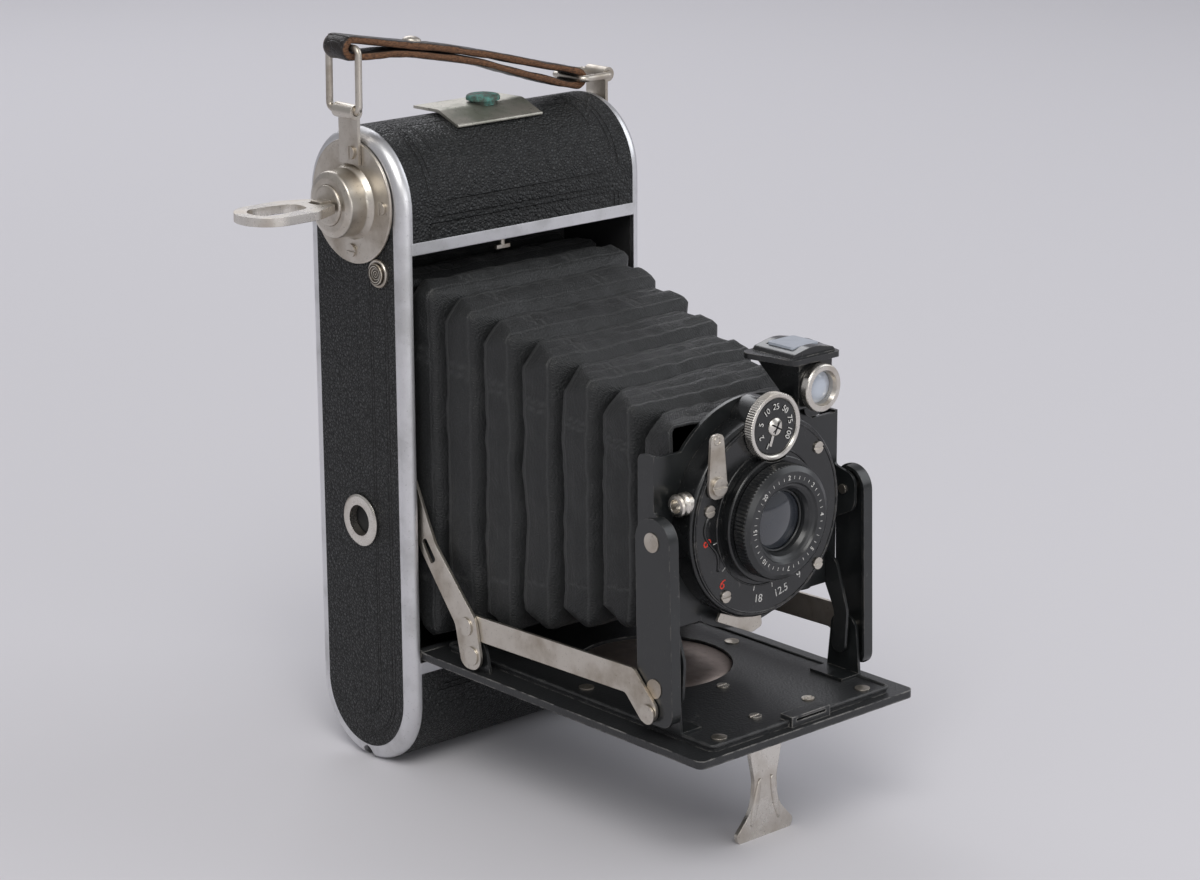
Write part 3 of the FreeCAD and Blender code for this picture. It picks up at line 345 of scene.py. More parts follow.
def side_lines(g):
    """Pressed lines that follow the full-round side panels, with a fine rib between the inner pair."""
    ribs_per_metre = 3600.0
    y, z = g.axis("Y"), g.axis("Z")
    held = g.math("MAXIMUM", g.math("MINIMUM", z, BODY_HEIGHT - SIDE_RADIUS), SIDE_RADIUS)
    past_end = g.math("SUBTRACT", z, held)
    squares = g.math("ADD", g.math("MULTIPLY", y, y), g.math("MULTIPLY", past_end, past_end))
    out = g.math("SQRT", squares)
    lines = [g.line(out, radius, 0.00042) for radius in (0.0128, 0.0117, 0.0068, 0.0059)]
    ribs = g.ramp(g.math("SINE", g.math("MULTIPLY", z, ribs_per_metre)), 0.2, 0.9)
    ribs = g.math("MULTIPLY", ribs, within(g, out, 0.0071, 0.0114))
    return either(g, *lines, g.math("MULTIPLY", ribs, 0.22))


def front_lines(g):
    """Nested frames pressed in the front and top panels above the bed, and in the panel below it."""
    x = g.math("ABSOLUTE", g.axis("X"))
    y, z = g.axis("Y"), g.axis("Z")
    outer, line_half = 0.0315, 0.00045
    low_edge, high_edge, front_edge, top_edge = 0.022, 0.144, -0.0190, -0.0012
    lines = []
    for across in (outer, 0.0300, 0.0262):
        inset = outer - across
        upright = g.line(x, across, line_half)
        upright = g.math("MULTIPLY", upright, g.math("GREATER_THAN", y, front_edge + inset))
        upright = g.math("MULTIPLY", upright, within(g, z, high_edge + inset, BODY_HEIGHT * 1.2))
        high = g.math("MULTIPLY", g.line(z, high_edge + inset, 0.00040), g.math("LESS_THAN", y, 0.0))
        back = g.line(y, top_edge - inset * 0.8, line_half)
        back = g.math("MULTIPLY", back, g.math("GREATER_THAN", z, 0.15))
        cross = g.math("MULTIPLY", g.math("MAXIMUM", high, back), g.math("LESS_THAN", x, across))
        lines += [upright, cross]
    for across in (outer, 0.0300):
        lines.append(g.math("MULTIPLY", g.line(x, across, line_half), within(g, z, low_edge, high_edge)))
        low = g.line(z, low_edge + outer - across, line_half)
        low = g.math("MULTIPLY", low, g.math("LESS_THAN", x, across))
        lines.append(g.math("MULTIPLY", low, g.math("GREATER_THAN", g.math("ABSOLUTE", y), 0.012)))
    return either(g, *lines)


def enamel(name, rough=0.20, colour=(0.007, 0.0075, 0.008), worn=0.5):
    """Black enamel with dust, fine scratches and edges rubbed to grey."""
    material, g = new_material(name)
    dust = g.ramp(g.noise(1900, detail=2), 0.70, 0.76)
    haze = g.ramp(g.noise(120, detail=5), 0.45, 0.75)
    scratch = g.ramp(g.noise(700, detail=3, vector=g.stretched((1, 7, 0.6))), 0.66, 0.74)
    rub = g.math("MULTIPLY", g.edges(0.00035), g.ramp(g.noise(380, detail=4), 0.46, 0.60))
    base = g.mix(g.math("MULTIPLY", haze, 0.35), colour, (0.026, 0.028, 0.029))
    base = g.mix(g.math("MULTIPLY", g.math("MAXIMUM", dust, scratch), 0.30), base, (0.16, 0.155, 0.15))
    base = g.mix(g.math("MULTIPLY", rub, worn), base, (0.30, 0.28, 0.25))
    g.set(base=base, rough=g.blend(haze, rough, rough + 0.16), specular=0.5, coat=0.25, coat_rough=0.18)
    g.bump(g.noise(1300, detail=2), 0.10, 0.00002, 0.00022)
    return material


def crackle(name):
    """Wrinkle-finish black on the bed, rubbed at its edges."""
    material, g = new_material(name)
    lumps = g.cells(1500, "F1")
    rub = g.math("MULTIPLY", g.edges(0.0006), g.ramp(g.noise(260, detail=5), 0.40, 0.60))
    marks = g.ramp(g.noise(150, detail=7, rough=0.75), 0.60, 0.70)
    base = g.mix(g.math("MULTIPLY", marks, 0.55), (0.018, 0.019, 0.020), (0.075, 0.075, 0.072))
    base = g.mix(g.math("MULTIPLY", rub, 0.75), base, (0.36, 0.35, 0.33))
    g.set(base=base, rough=g.blend(marks, 0.42, 0.58), specular=0.5)
    g.bump(g.math("SUBTRACT", 1.0, lumps), 0.55, 0.00009, 0.00025)
    return material


def matt_black(name):
    """Dull black paint, a little patchy."""
    material, g = new_material(name)
    patches = g.noise(240, detail=6)
    base = g.mix(patches, (0.008, 0.008, 0.009), (0.02, 0.02, 0.021))
    g.set(base=base, rough=g.blend(patches, 0.6, 0.8))
    g.bump(g.noise(2400, detail=2), 0.2, 0.00004, 0.0002)
    return material


def attribute_value(g, name):
    """A number that the mesh holds at each point."""
    made = g.tree.nodes.new("ShaderNodeAttribute")
    made.attribute_name = name
    return made.outputs["Fac"]


def bellows_cloth(name):
    """Leathercloth: fine cross grain, pressed double lines and folds worn pale at their crests."""
    material, g = new_material(name)
    weave = g.math("MULTIPLY", g.math("SINE", g.math("MULTIPLY", g.axis("Y"), 9000.0)),
                   g.math("SINE", g.math("MULTIPLY", g.math("ADD", g.axis("X"), g.axis("Z")), 9000.0)))
    pebble = g.cells(1700, "F1")
    crest = attribute_value(g, "crest")
    pressed = attribute_value(g, "pressed")
    rub = g.ramp(g.math("MULTIPLY", crest, g.math("ADD", g.noise(330, detail=5), 0.42)), 0.66, 0.98)
    dusty = g.ramp(g.noise(75, detail=6, rough=0.7), 0.50, 0.78)
    base = g.mix(g.math("MULTIPLY", dusty, 0.5), (0.0125, 0.0135, 0.014), (0.030, 0.032, 0.032))
    base = g.mix(g.math("MULTIPLY", rub, 0.75), base, (0.15, 0.15, 0.145))
    base = g.mix(g.math("MULTIPLY", pressed, 0.45), base, (0.062, 0.064, 0.064))
    g.set(base=base, rough=g.blend(dusty, 0.46, 0.60), specular=0.42, sheen=0.06)
    height = g.math("ADD", g.math("MULTIPLY", weave, 0.25), g.math("SUBTRACT", 1.0, pebble))
    height = g.math("SUBTRACT", height, g.math("MULTIPLY", pressed, 2.0))
    g.bump(height, 0.9, 0.00016)
    return material


def strap_leather(name):
    """Old brown leather: dark polished faces, raw fibrous edges and cracked dye."""
    material, g = new_material(name)
    side = g.ramp(g.math("ABSOLUTE", g.normal_axis("Y")), 0.45, 0.85)
    crack = g.ramp(g.cells(520, "DISTANCE_TO_EDGE"), 0.0, 0.09)
    fibre = g.noise(900, detail=6, rough=0.75, vector=g.stretched((1, 1, 3.5)))
    bare = g.ramp(g.noise(140, detail=6, rough=0.7), 0.50, 0.66)
    face = g.mix(g.math("MULTIPLY", bare, 0.7), (0.014, 0.011, 0.010), (0.050, 0.028, 0.018))
    raw = g.mix(g.ramp(fibre, 0.30, 0.72), (0.030, 0.014, 0.009), (0.26, 0.125, 0.060))
    base = g.mix(side, face, raw)
    g.set(base=base, rough=g.blend(side, 0.42, 0.85), specular=0.4)
    height = g.blend(side, g.math("MULTIPLY", crack, 0.8), g.math("MULTIPLY", fibre, 2.0))
    g.bump(height, 0.7, 0.00018)
    return material


def ringed_nickel(name):
    """Nickel turned with close concentric rings, for the release button's face; the ring grooves hold
    painted shade.
    """
    material, g = new_material(name)
    low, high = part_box("release_button")
    y = g.math("SUBTRACT", g.axis("Y"), (low.y + high.y) / 2)
    z = g.math("SUBTRACT", g.axis("Z"), (low.z + high.z) / 2)
    out = g.math("SQRT", g.math("ADD", g.math("MULTIPLY", y, y), g.math("MULTIPLY", z, z)))
    rings = g.math("SINE", g.math("MULTIPLY", out, 2 * math.pi / 0.00062))
    stain = g.ramp(g.noise(500, detail=4), 0.40, 0.70)
    base = g.mix(stain, (0.66, 0.62, 0.54), (0.36, 0.31, 0.24))
    # Painted shade: the colour goes almost black in the grooves between the turned rings.
    base = g.mix(g.ramp(rings, -0.2, 0.9), (0.10, 0.085, 0.07), base)
    g.set(base=base, rough=g.blend(stain, 0.26, 0.42), metal=1.0)
    g.bump(rings, 0.8, 0.0001)
    return material


def verdigris(name):
    """Brass under a green crust."""
    material, g = new_material(name)
    crust = g.noise(650, detail=7, rough=0.7)
    patch = g.ramp(crust, 0.40, 0.62)
    base = g.mix(patch, (0.055, 0.065, 0.05), (0.10, 0.27, 0.235))
    g.set(base=base, rough=g.blend(patch, 0.5, 0.85))
    g.bump(crust, 0.8, 0.0003, 0.0002)
    return material


def lens_glass(name, tint):
    """Coated glass over a dark barrel."""
    material, g = new_material(name)
    smear = g.noise(260, detail=4)
    base = g.mix(smear, tint, tuple(v * 0.7 for v in tint))
    g.set(base=base, rough=g.blend(smear, 0.02, 0.07), specular=0.6, ior=1.6, coat=0.6, coat_rough=0.03)
    return material


def painted_mark(name, colour):
    """Paint in engraved marks, chipped here and there."""
    material, g = new_material(name)
    chips = g.ramp(g.noise(2600, detail=3), 0.36, 0.50)
    g.set(base=g.mix(chips, tuple(v * 0.35 for v in colour), colour), rough=0.55)
    return material


def make_materials():
    """Every material by its name."""
    return {
        "satin_aluminium": metal("satin_aluminium", (0.74, 0.74, 0.755), (0.58, 0.58, 0.585), 0.33,
                                 (0.3, 1, 0.3), 0.0003, 0.22),
        "nickel": metal("nickel", (0.60, 0.56, 0.50), (0.40, 0.35, 0.29), 0.30, (1, 0.15, 1)),
        "bright_nickel": metal("bright_nickel", (0.72, 0.69, 0.64), (0.52, 0.47, 0.41), 0.20, (1, 1, 0.2)),
        "worn_plate": metal("worn_plate", (0.55, 0.53, 0.47), (0.26, 0.27, 0.22), 0.40,
                            (1, 1, 1), 0.0002, 0.8),
        "front_leather": leather("front_leather", front_lines),
        "side_leather": leather("side_leather", side_lines),
        "plain_leather": leather("plain_leather", no_lines),
        "black_enamel": enamel("black_enamel"),
        "satin_black": enamel("satin_black", 0.30, (0.010, 0.0115, 0.012), 0.35),
        "crackle_black": crackle("crackle_black"),
        "matt_black": matt_black("matt_black"),
        "bellows_cloth": bellows_cloth("bellows_cloth"),
        "strap_leather": strap_leather("strap_leather"),
        "rosy_metal": metal("rosy_metal", (0.50, 0.42, 0.38), (0.30, 0.25, 0.23), 0.42),
        "ringed_nickel": ringed_nickel("ringed_nickel"),
        "knurled_black": enamel("knurled_black", 0.30, (0.012, 0.013, 0.014), 0.10),
        "verdigris": verdigris("verdigris"),
        "lens_glass": lens_glass("lens_glass", (0.035, 0.040, 0.050)),
        "finder_glass": lens_glass("finder_glass", (0.55, 0.60, 0.68)),
        "ruby": lens_glass("ruby", (0.30, 0.012, 0.010)),
        "white_paint": painted_mark("white_paint", (0.70, 0.69, 0.66)),
        "red_paint": painted_mark("red_paint", (0.72, 0.045, 0.022)),
    }


FINISHES = {
    "satin_aluminium": ["front_casing", "back_cover", "crossbars"],
    "front_leather": ["front_leathers", "cover_leathers"],
    "side_leather": ["side_leathers"],
    "plain_leather": ["bed_leather"],
    "matt_black": ["film_chassis", "pressure_plate", "takeup_spool"],
    "nickel": ["arm_lock_studs", "hinge_pins", "winder_escutcheon", "escutcheon_screws", "strap_lugs",
               "lug_screws", "button_bezel", "spool_pivot", "pressure_springs", "winder_hub",
               "film_roller_top", "film_roller_bottom", "bed_catch", "bed_rivets", "foot_plate",
               "strut_rivets", "hook_arms", "hook_arm_rivets", "long_arms", "face_screws", "release_lever",
               "aperture_lever", "strap_link_left", "strap_link_right"],
    "bright_nickel": ["tripod_bush", "winding_key", "folding_foot", "cable_socket", "finder_ring"],
    "worn_plate": ["latch_plate"],
    "ringed_nickel": ["release_button"],
    "verdigris": ["latch_button"],
    "black_enamel": ["shutter_face", "finder_housing", "lens_barrel", "shutter_case"],
    "satin_black": ["struts", "bed_brackets", "lens_board", "board_links"],
    "crackle_black": ["bed_pan", "bed_plate"],
    "finder_glass": ["finder_glasses"],
    "lens_glass": ["front_glass"],
    "ruby": ["red_window"],
}


def finish_cad_nodes(materials):
    """Gives each CAD node the one finish that it is listed under."""
    for finish, names in FINISHES.items():
        for name in names:
            piece = NODES[name]
            piece.data.materials.clear()
            piece.data.materials.append(materials[finish])


# ---------------------------------------------------------------- mesh helpers
def turns(count):
    """Evenly spaced angles round a circle."""
    return [2 * math.pi * k / count for k in range(count)]


def on_clock(angle):
    """The direction at an angle clockwise from the top of a face that looks along -Y."""
    return Vector((math.sin(angle), 0, math.cos(angle)))


def face_centre(node):
    """The middle of a round node about Y, at y = 0."""
    low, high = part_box(node)
    return Vector(((low.x + high.x) / 2, 0, (low.z + high.z) / 2))


def add_mesh(name, vertices, faces, material, smooth=True):
    """A new object in the scene with one material."""
    mesh = bpy.data.meshes.new(name)
    mesh.from_pydata([Vector(v) for v in vertices], [], faces)
    mesh.update()
    mesh.materials.append(material)
    if smooth:
        mesh.shade_smooth()
    piece = bpy.data.objects.new(name, mesh)
    bpy.context.scene.collection.objects.link(piece)
    return piece


def loft(rings, closed_ends=False):
    """Vertices and quads through rings that have the same number of points."""
    count = len(rings[0])
    vertices = [point for ring in rings for point in ring]
    faces = []
    for i in range(len(rings) - 1):
        for j in range(count):
            k = (j + 1) % count
            faces.append((i * count + j, i * count + k, (i + 1) * count + k, (i + 1) * count + j))
    if closed_ends:
        faces.append(tuple(range(count))[::-1])
        faces.append(tuple(range((len(rings) - 1) * count, len(rings) * count)))
    return vertices, faces


def loft_loop(rings):
    """Vertices and quads through rings that come back to the first one."""
    vertices, faces = loft([*rings, rings[0]])
    total = len(rings) * len(rings[0])
    return vertices[:total], [tuple(i % total for i in face) for face in faces]


def attach(piece, body, slot, *replaced):
    """Makes a piece ride a body, and stand for the CAD nodes that it replaces. slot is not used."""
    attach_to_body(piece, body)
    if replaced:
        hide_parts(*replaced)
    return piece


def dome(name, place, radius, rise, lean, material):
    """A round stud about Z whose shank goes down from its rim, leaned about Y."""
    shank, steps, around = 0.0012, 8, 32
    rings = [[Vector((radius * math.cos(t), radius * math.sin(t), -shank)) for t in turns(around)]]
    for i in range(steps):
        angle = math.pi / 2 * i / steps
        r, h = radius * math.cos(angle), rise * math.sin(angle)
        rings.append([Vector((r * math.cos(t), r * math.sin(t), h)) for t in turns(around)])
    vertices, faces = loft(rings, closed_ends=True)
    turn = Matrix.Rotation(lean, 4, "Y")
    return add_mesh(name, [place + turn @ v for v in vertices], faces, material)


# ---------------------------------------------------------------- bellows
BOARD_END, FULL_SIZE_AT, FIXED_END = -0.0989, -0.017, 0.0084
FIRST_RIDGE, PITCH, FOLD = -0.095, 0.013, 0.0045
FRONT_WIDE, FRONT_TALL, REAR_WIDE, REAR_TALL = 0.0245, 0.0255, 0.034, 0.0465
BELLOWS_MIDDLE = 0.082
BELLOWS_CLOTH_THICK = 0.0006


def bellows_section(y):
    """Half width, half height, middle height, corner mitre and ridge (1 on a crest, 0 in a fold) at y."""
    share = min(max((y - FIRST_RIDGE) / (FULL_SIZE_AT - FIRST_RIDGE), 0.0), 1.0)
    phase = ((y - FIRST_RIDGE) / PITCH) % 1.0
    ridge = abs(2 * phase - 1)
    crease = max(0.0, 1 - ridge / 0.36) ** 0.9
    belly = 0.0006 * (1 - ridge)
    lean = 0.0013 * (1 - phase)
    side_dip = FOLD * 0.90 * crease + belly + 0.0002
    top_dip = FOLD * 0.30 * crease + belly * 0.5 + lean * 0.6 + 0.0002
    wide = FRONT_WIDE + (REAR_WIDE - FRONT_WIDE) * share - side_dip
    tall = FRONT_TALL + (REAR_TALL - FRONT_TALL) * share - top_dip
    behind = (phase - 0.5) % 1.0
    notch = (behind - 0.2) / 0.8 if behind > 0.2 else 1 - behind / 0.2
    return wide, tall, BELLOWS_MIDDLE + 0.001 * share, 0.0007 + 0.0056 * notch, ridge


def octagon(wide, tall, mitre):
    """The corners of a section with mitred corners, from the lower left."""
    return [(-wide + mitre, -tall), (wide - mitre, -tall), (wide, -tall + mitre), (wide, tall - mitre),
            (wide - mitre, tall), (-wide + mitre, tall), (-wide, tall - mitre), (-wide, -tall + mitre)]


def softened(place, out):
    """A point of the cloth, moved a little by ripples across it and by sag along the bellows."""
    ripple = noise.noise(place * 230.0) * 0.0005 + noise.noise(place * 75.0) * 0.0005 - 0.0005
    sag = Vector((0, noise.noise(place * 55.0 + Vector((5, 1, 2))) * 0.0010, 0))
    return place + out * ripple + sag


def cloth_wear(u, v, wide, tall, ridge):
    """How worn and how pressed the cloth is at a point of the section, each from 0 to 1."""
    to_corner = abs(abs(u) - wide) + abs(abs(v) - tall)
    near_corner = max(0.0, 1 - to_corner / 0.0085)
    edge = max(0.0, 1 - abs(ridge - 0.46) / 0.10)
    on_top = abs(abs(v) - tall) < 0.0002
    along = u / wide if on_top else v / tall
    lines = (-0.62, -0.55, 0.42, 0.49) if on_top else (-0.66, 0.60, 0.66)
    lengthwise = max(0.0, 1 - min(abs(along - line) for line in lines) / 0.018)
    across = max(0.0, 1 - abs(ridge - 0.48) / 0.05)
    worn = max(near_corner * (0.55 + 0.45 * edge), 0.62 * edge)
    return worn, max(lengthwise * (ridge > 0.44), across)


def make_bellows(materials):
    """Leathercloth pleats with soft crests, mitred corners and pressed double lines."""
    rings_per_pleat, side_points, mitre_points = 26, 72, 3
    length = FIXED_END - BOARD_END
    total = int(round(length / PITCH * rings_per_pleat))
    rings, crests, presses = [], [], []
    for i in range(total + 1):
        y = BOARD_END + length * i / total
        wide, tall, middle, mitre, ridge = bellows_section(y)
        corners = octagon(wide, tall, mitre)
        ring = []
        for j, start in enumerate(corners):
            end = corners[(j + 1) % len(corners)]
            count = side_points if j % 2 == 0 else mitre_points
            for k in range(count):
                u = start[0] + (end[0] - start[0]) * k / count
                v = start[1] + (end[1] - start[1]) * k / count
                out = Vector((u / wide, 0, v / tall)).normalized()
                ring.append(softened(Vector((u, y, middle + v)), out))
                worn, pressed = cloth_wear(u, v, wide, tall, ridge)
                crests.append(worn)
                presses.append(pressed)
        rings.append(ring)
    vertices, faces = loft(rings)
    piece = add_mesh("pleated_bellows", vertices, faces, materials["bellows_cloth"])
    for name, values in (("crest", crests), ("pressed", presses)):
        attribute = piece.data.attributes.new(name, "FLOAT", "POINT")
        attribute.data.foreach_set("value", values)
    shell = piece.modifiers.new("thickness", "SOLIDIFY")
    shell.thickness = BELLOWS_CLOTH_THICK
    shell.offset = -1
    with bpy.context.temp_override(object=piece, active_object=piece):
        bpy.ops.object.modifier_apply(modifier=shell.name)
    attach(piece, "camera_body", "bellows_cloth", "bellows")
    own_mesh(piece)


# ---------------------------------------------------------------- strap
def smooth_closed(points, steps):
    """A closed Catmull-Rom curve through the points."""
    out = []
    count = len(points)
    for i in range(count):
        a, b, c, d = (Vector(points[(i + k) % count]) for k in (-1, 0, 1, 2))
        for j in range(steps):
            t = j / steps
            place = 0.5 * ((2 * b) + (c - a) * t + (2 * a - 5 * b + 4 * c - d) * t * t
                           + (3 * b - a - 3 * c + d) * t ** 3)
            out.append((place.x, place.y))
    return out


def strap_outline():
    """The doubled strap's outer line in x and z: upper run, right eye, lower run, left eye."""
    eye_left, eye_right = (-0.0422, 0.1874), (0.0316, 0.1715)
    upper = [(-0.0360, 0.1894), (-0.0270, 0.1877), (-0.0130, 0.1853), (0.0, 0.1824), (0.0110, 0.1797),
             (0.0205, 0.1772), (0.0275, 0.1755)]
    lower = [(0.0270, 0.1696), (0.0180, 0.1722), (0.0090, 0.1750), (0.0, 0.1779), (-0.0130, 0.1808),
             (-0.0270, 0.1833), (-0.0360, 0.1837)]
    right_turn = eye_turn(eye_right, 80, 0.0030, 0.0029)
    left_turn = eye_turn(eye_left, -95, 0.0033, 0.0032)
    return [*upper, *right_turn, *lower, *left_turn]


def eye_turn(centre, begin, half_width, half_height):
    """Points of the strap's turn round a wire link, through 170 degrees."""
    steps = 8
    angles = [math.radians(begin - 170 * i / steps) for i in range(steps + 1)]
    return [(centre[0] + half_width * math.cos(a), centre[1] + half_height * math.sin(a)) for a in angles]


def make_strap(materials):
    """A doubled leather handle: two layers with raw edges, and an eye at each end."""
    low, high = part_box("carrying_strap")
    half = (high.y - low.y) / 2 - 0.0001
    thick = 0.0021
    across = 10
    curve = smooth_closed(strap_outline(), 6)
    sections = []
    for j, (x, z) in enumerate(curve):
        before, after = curve[j - 1], curve[(j + 1) % len(curve)]
        inward = Vector((after[1] - before[1], 0, before[0] - after[0])).normalized()
        skin = thick * (1 + 0.14 * noise.noise(Vector((x * 130, 3.0, z * 60))))
        section = []
        for depth, order in ((0.0, 1), (skin, -1)):
            for i in range(across + 1):
                share = order * (i / across * 2 - 1)
                edge = max(0.0, abs(share) - 0.7) / 0.3
                ragged = noise.noise(Vector((x * 380, share * 3, depth * 900))) * 0.00035 * edge
                width = half * (0.965 + 0.035 * noise.noise(Vector((x * 90, 2.0, depth * 300))))
                wave = abs(noise.noise(Vector((x * 170, share * 1.4, z * 90)))) * 0.0004 * (depth == 0.0)
                curl = edge * edge * 0.0004 * order
                section.append(Vector((x, share * width + ragged, z)) + inward * (depth + wave + curl))
        sections.append(section)
    vertices, faces = loft_loop(sections)
    piece = add_mesh("handle_strap", vertices, faces, materials["strap_leather"])
    attach(piece, "camera_body", "brown_leather", "carrying_strap")
    stud = dome("strap_stud", Vector((-0.0205, 0, 0.1866)), 0.0024, 0.0012, 0.16, materials["nickel"])
    attach(stud, "camera_body", "nickel")


# ---------------------------------------------------------------- lens, dial and their marks
def knurled(name, centre, profile, teeth, depth, material):
    """A turned ring about Y from (y, radius) points, knurled at the third and fourth of them."""
    around = teeth * 4
    rings = []
    for index, (y, radius) in enumerate(profile):
        ring = []
        for k, angle in enumerate(turns(around)):
            cut = depth * (0.5 - 0.5 * math.cos(2 * math.pi * k / 4)) if index in (2, 3) else 0
            r = radius - cut
            ring.append(Vector((centre.x + r * math.cos(angle), y, centre.z + r * math.sin(angle))))
        rings.append(ring)
    vertices, faces = loft(rings)
    last = (len(rings) - 1) * around
    faces += [(last + j, last + (j + 1) % around, (j + 1) % around, j) for j in range(around)]
    return add_mesh(name, vertices, [face[::-1] for face in faces], material, smooth=False)


def dome_y(name, centre, y, radius, rise, material):
    """A shallow round surface about Y that bulges towards -Y, with a flat back."""
    back_thick, steps, around = 0.0012, 12, 48
    rings = []
    for i in range(steps):
        share = 1 - i / steps
        r = radius * share
        rings.append([Vector((centre.x + r * math.cos(t), y - rise * (1 - share * share),
                              centre.z + r * math.sin(t))) for t in turns(around)])
    back = [Vector((v.x, y + back_thick, v.z)) for v in rings[0]]
    vertices, faces = loft([back] + rings, closed_ends=True)
    return add_mesh(name, vertices, faces, material)


def bead(place, out, up, radius, rise=None):
    """A ring of points round a place, for a bead that runs square to out and up."""
    rise = radius if rise is None else rise
    return [place + out * radius * math.cos(b) + up * rise * math.sin(b) for b in turns(10)]


def torus_y(name, centre, y, radius, thick, material):
    """A round wire about Y."""
    rings = []
    for angle in turns(64):
        out = Vector((math.cos(angle), 0, math.sin(angle)))
        rings.append(bead(Vector((centre.x, y, centre.z)) + out * radius, out, Vector((0, 1, 0)), thick))
    vertices, faces = loft_loop(rings)
    return add_mesh(name, vertices, faces, material)


def tube_y(name, points, y, radius, material):
    """A raised bead along (x, z) points on a face that looks along -Y."""
    rings = []
    for i, (x, z) in enumerate(points):
        before, after = points[max(i - 1, 0)], points[min(i + 1, len(points) - 1)]
        along = Vector((after[0] - before[0], 0, after[1] - before[1])).normalized()
        rings.append(bead(Vector((x, y, z)), Vector((along.z, 0, -along.x)), Vector((0, 1, 0)), radius))
    vertices, faces = loft(rings, closed_ends=True)
    return add_mesh(name, vertices, faces, material)


def disc_z(name, centre, radius, material):
    """A thin disc that looks up, a hair higher in its middle."""
    rings = []
    for r, z in ((radius, -0.0003), (radius, 0.0), (radius * 0.7, 0.00001), (radius * 0.3, 0.00002)):
        rings.append([centre + Vector((r * math.cos(t), r * math.sin(t), z)) for t in turns(64)])
    vertices, faces = loft(rings, closed_ends=True)
    return add_mesh(name, vertices, faces, material)


def mark(name, text, place, size, angle, body, material, slot):
    """A painted number that lies on a face looking along -Y."""
    data = bpy.data.curves.new(name, "FONT")
    data.body = text
    data.size = size
    data.extrude = 0.00004
    data.align_x = "CENTER"
    data.align_y = "CENTER"
    data.materials.append(material)
    letter = bpy.data.objects.new(name, data)
    bpy.context.scene.collection.objects.link(letter)
    letter.matrix_world = (Matrix.Translation(place) @ Matrix.Rotation(angle, 4, "Y")
                           @ Matrix.Rotation(math.pi / 2, 4, "X"))
    bpy.context.view_layer.update()
    mesh = bpy.data.meshes.new_from_object(letter.evaluated_get(bpy.context.evaluated_depsgraph_get()))
    mesh.transform(letter.matrix_world)
    bpy.data.objects.remove(letter)
    piece = bpy.data.objects.new(name, mesh)
    bpy.context.scene.collection.objects.link(piece)
    attach(piece, body, slot)


def number_ring(prefix, words, angles, centre, radius, y, size, body, material, slot):
    """Numbers round a dial, each upright at its own angle."""
    for word, angle in zip(words, angles):
        place = centre + on_clock(angle) * radius
        place.y = y
        mark(f"{prefix}_{word}", word, place, size, angle, body, material, slot)


def ticks(name, centre, y, radius, length, width, angles, body, material, slot):
    """Short raised strokes that point at the centre."""
    proud = 0.00005
    box_faces = [(0, 1, 3, 2), (4, 6, 7, 5), (0, 4, 5, 1), (2, 3, 7, 6), (0, 2, 6, 4), (1, 5, 7, 3)]
    vertices, faces = [], []
    for angle in angles:
        out = on_clock(angle)
        side = Vector((math.cos(angle), 0, -math.sin(angle)))
        start = len(vertices)
        for depth in (y, y - proud):
            for r in (radius, radius + length):
                for w in (-width / 2, width / 2):
                    vertices.append(Vector((centre.x, depth, centre.z)) + out * r + side * w)
        faces += [tuple(start + i for i in face) for face in box_faces]
    piece = add_mesh(name, vertices, faces, material, smooth=False)
    attach(piece, body, slot)


def make_lens(materials):
    """The knurled focus ring with its numbers, and the front element in its retainer."""
    low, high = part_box("focus_ring")
    centre = face_centre("focus_ring")
    outer = (high.x - low.x) / 2
    front = low.y
    bore, glass_radius = 0.0078, 0.0076
    profile = [
        (front + 0.00435, outer - 0.0012), (front + 0.0043, outer - 0.0002), (front + 0.0038, outer),
        (front + 0.0012, outer), (front + 0.0008, outer - 0.0003), (front + 0.0003, outer - 0.0011),
        (front, outer - 0.0016), (front + 0.0001, outer - 0.0042), (front + 0.0006, outer - 0.0046),
        (front + 0.0009, outer - 0.0052), (front + 0.0014, bore + 0.0006), (front + 0.0024, bore),
        (front + 0.0060, bore - 0.0002),
    ]
    ring = knurled("focus_rim", centre, profile, 90, 0.00030, materials["knurled_black"])
    attach(ring, "focus_ring", "black_enamel", "focus_ring")
    glass = dome_y("front_element", centre, front + 0.0042, glass_radius, 0.0014, materials["lens_glass"])
    attach(glass, "focus_ring", "glass", "front_glass")
    retainer = torus_y("glass_retainer", centre, front + 0.0037, glass_radius - 0.0001, 0.00035,
                       materials["satin_black"])
    attach(retainer, "focus_ring", "black_enamel")
    strokes = [angle for k, angle in enumerate(turns(40)) if k % 5]
    ticks("focus_scale_ticks", centre, front + 0.00004, outer - 0.0034, 0.0008, 0.00012, strokes,
          "focus_ring", materials["white_paint"], "black_enamel")
    distances = ("2", "3", "4", "5", "7", "10", "15", "20")
    number_ring("focus_number", distances, turns(8), centre, outer - 0.0030, front - 0.00002, 0.0017,
                "focus_ring", materials["white_paint"], "black_enamel")


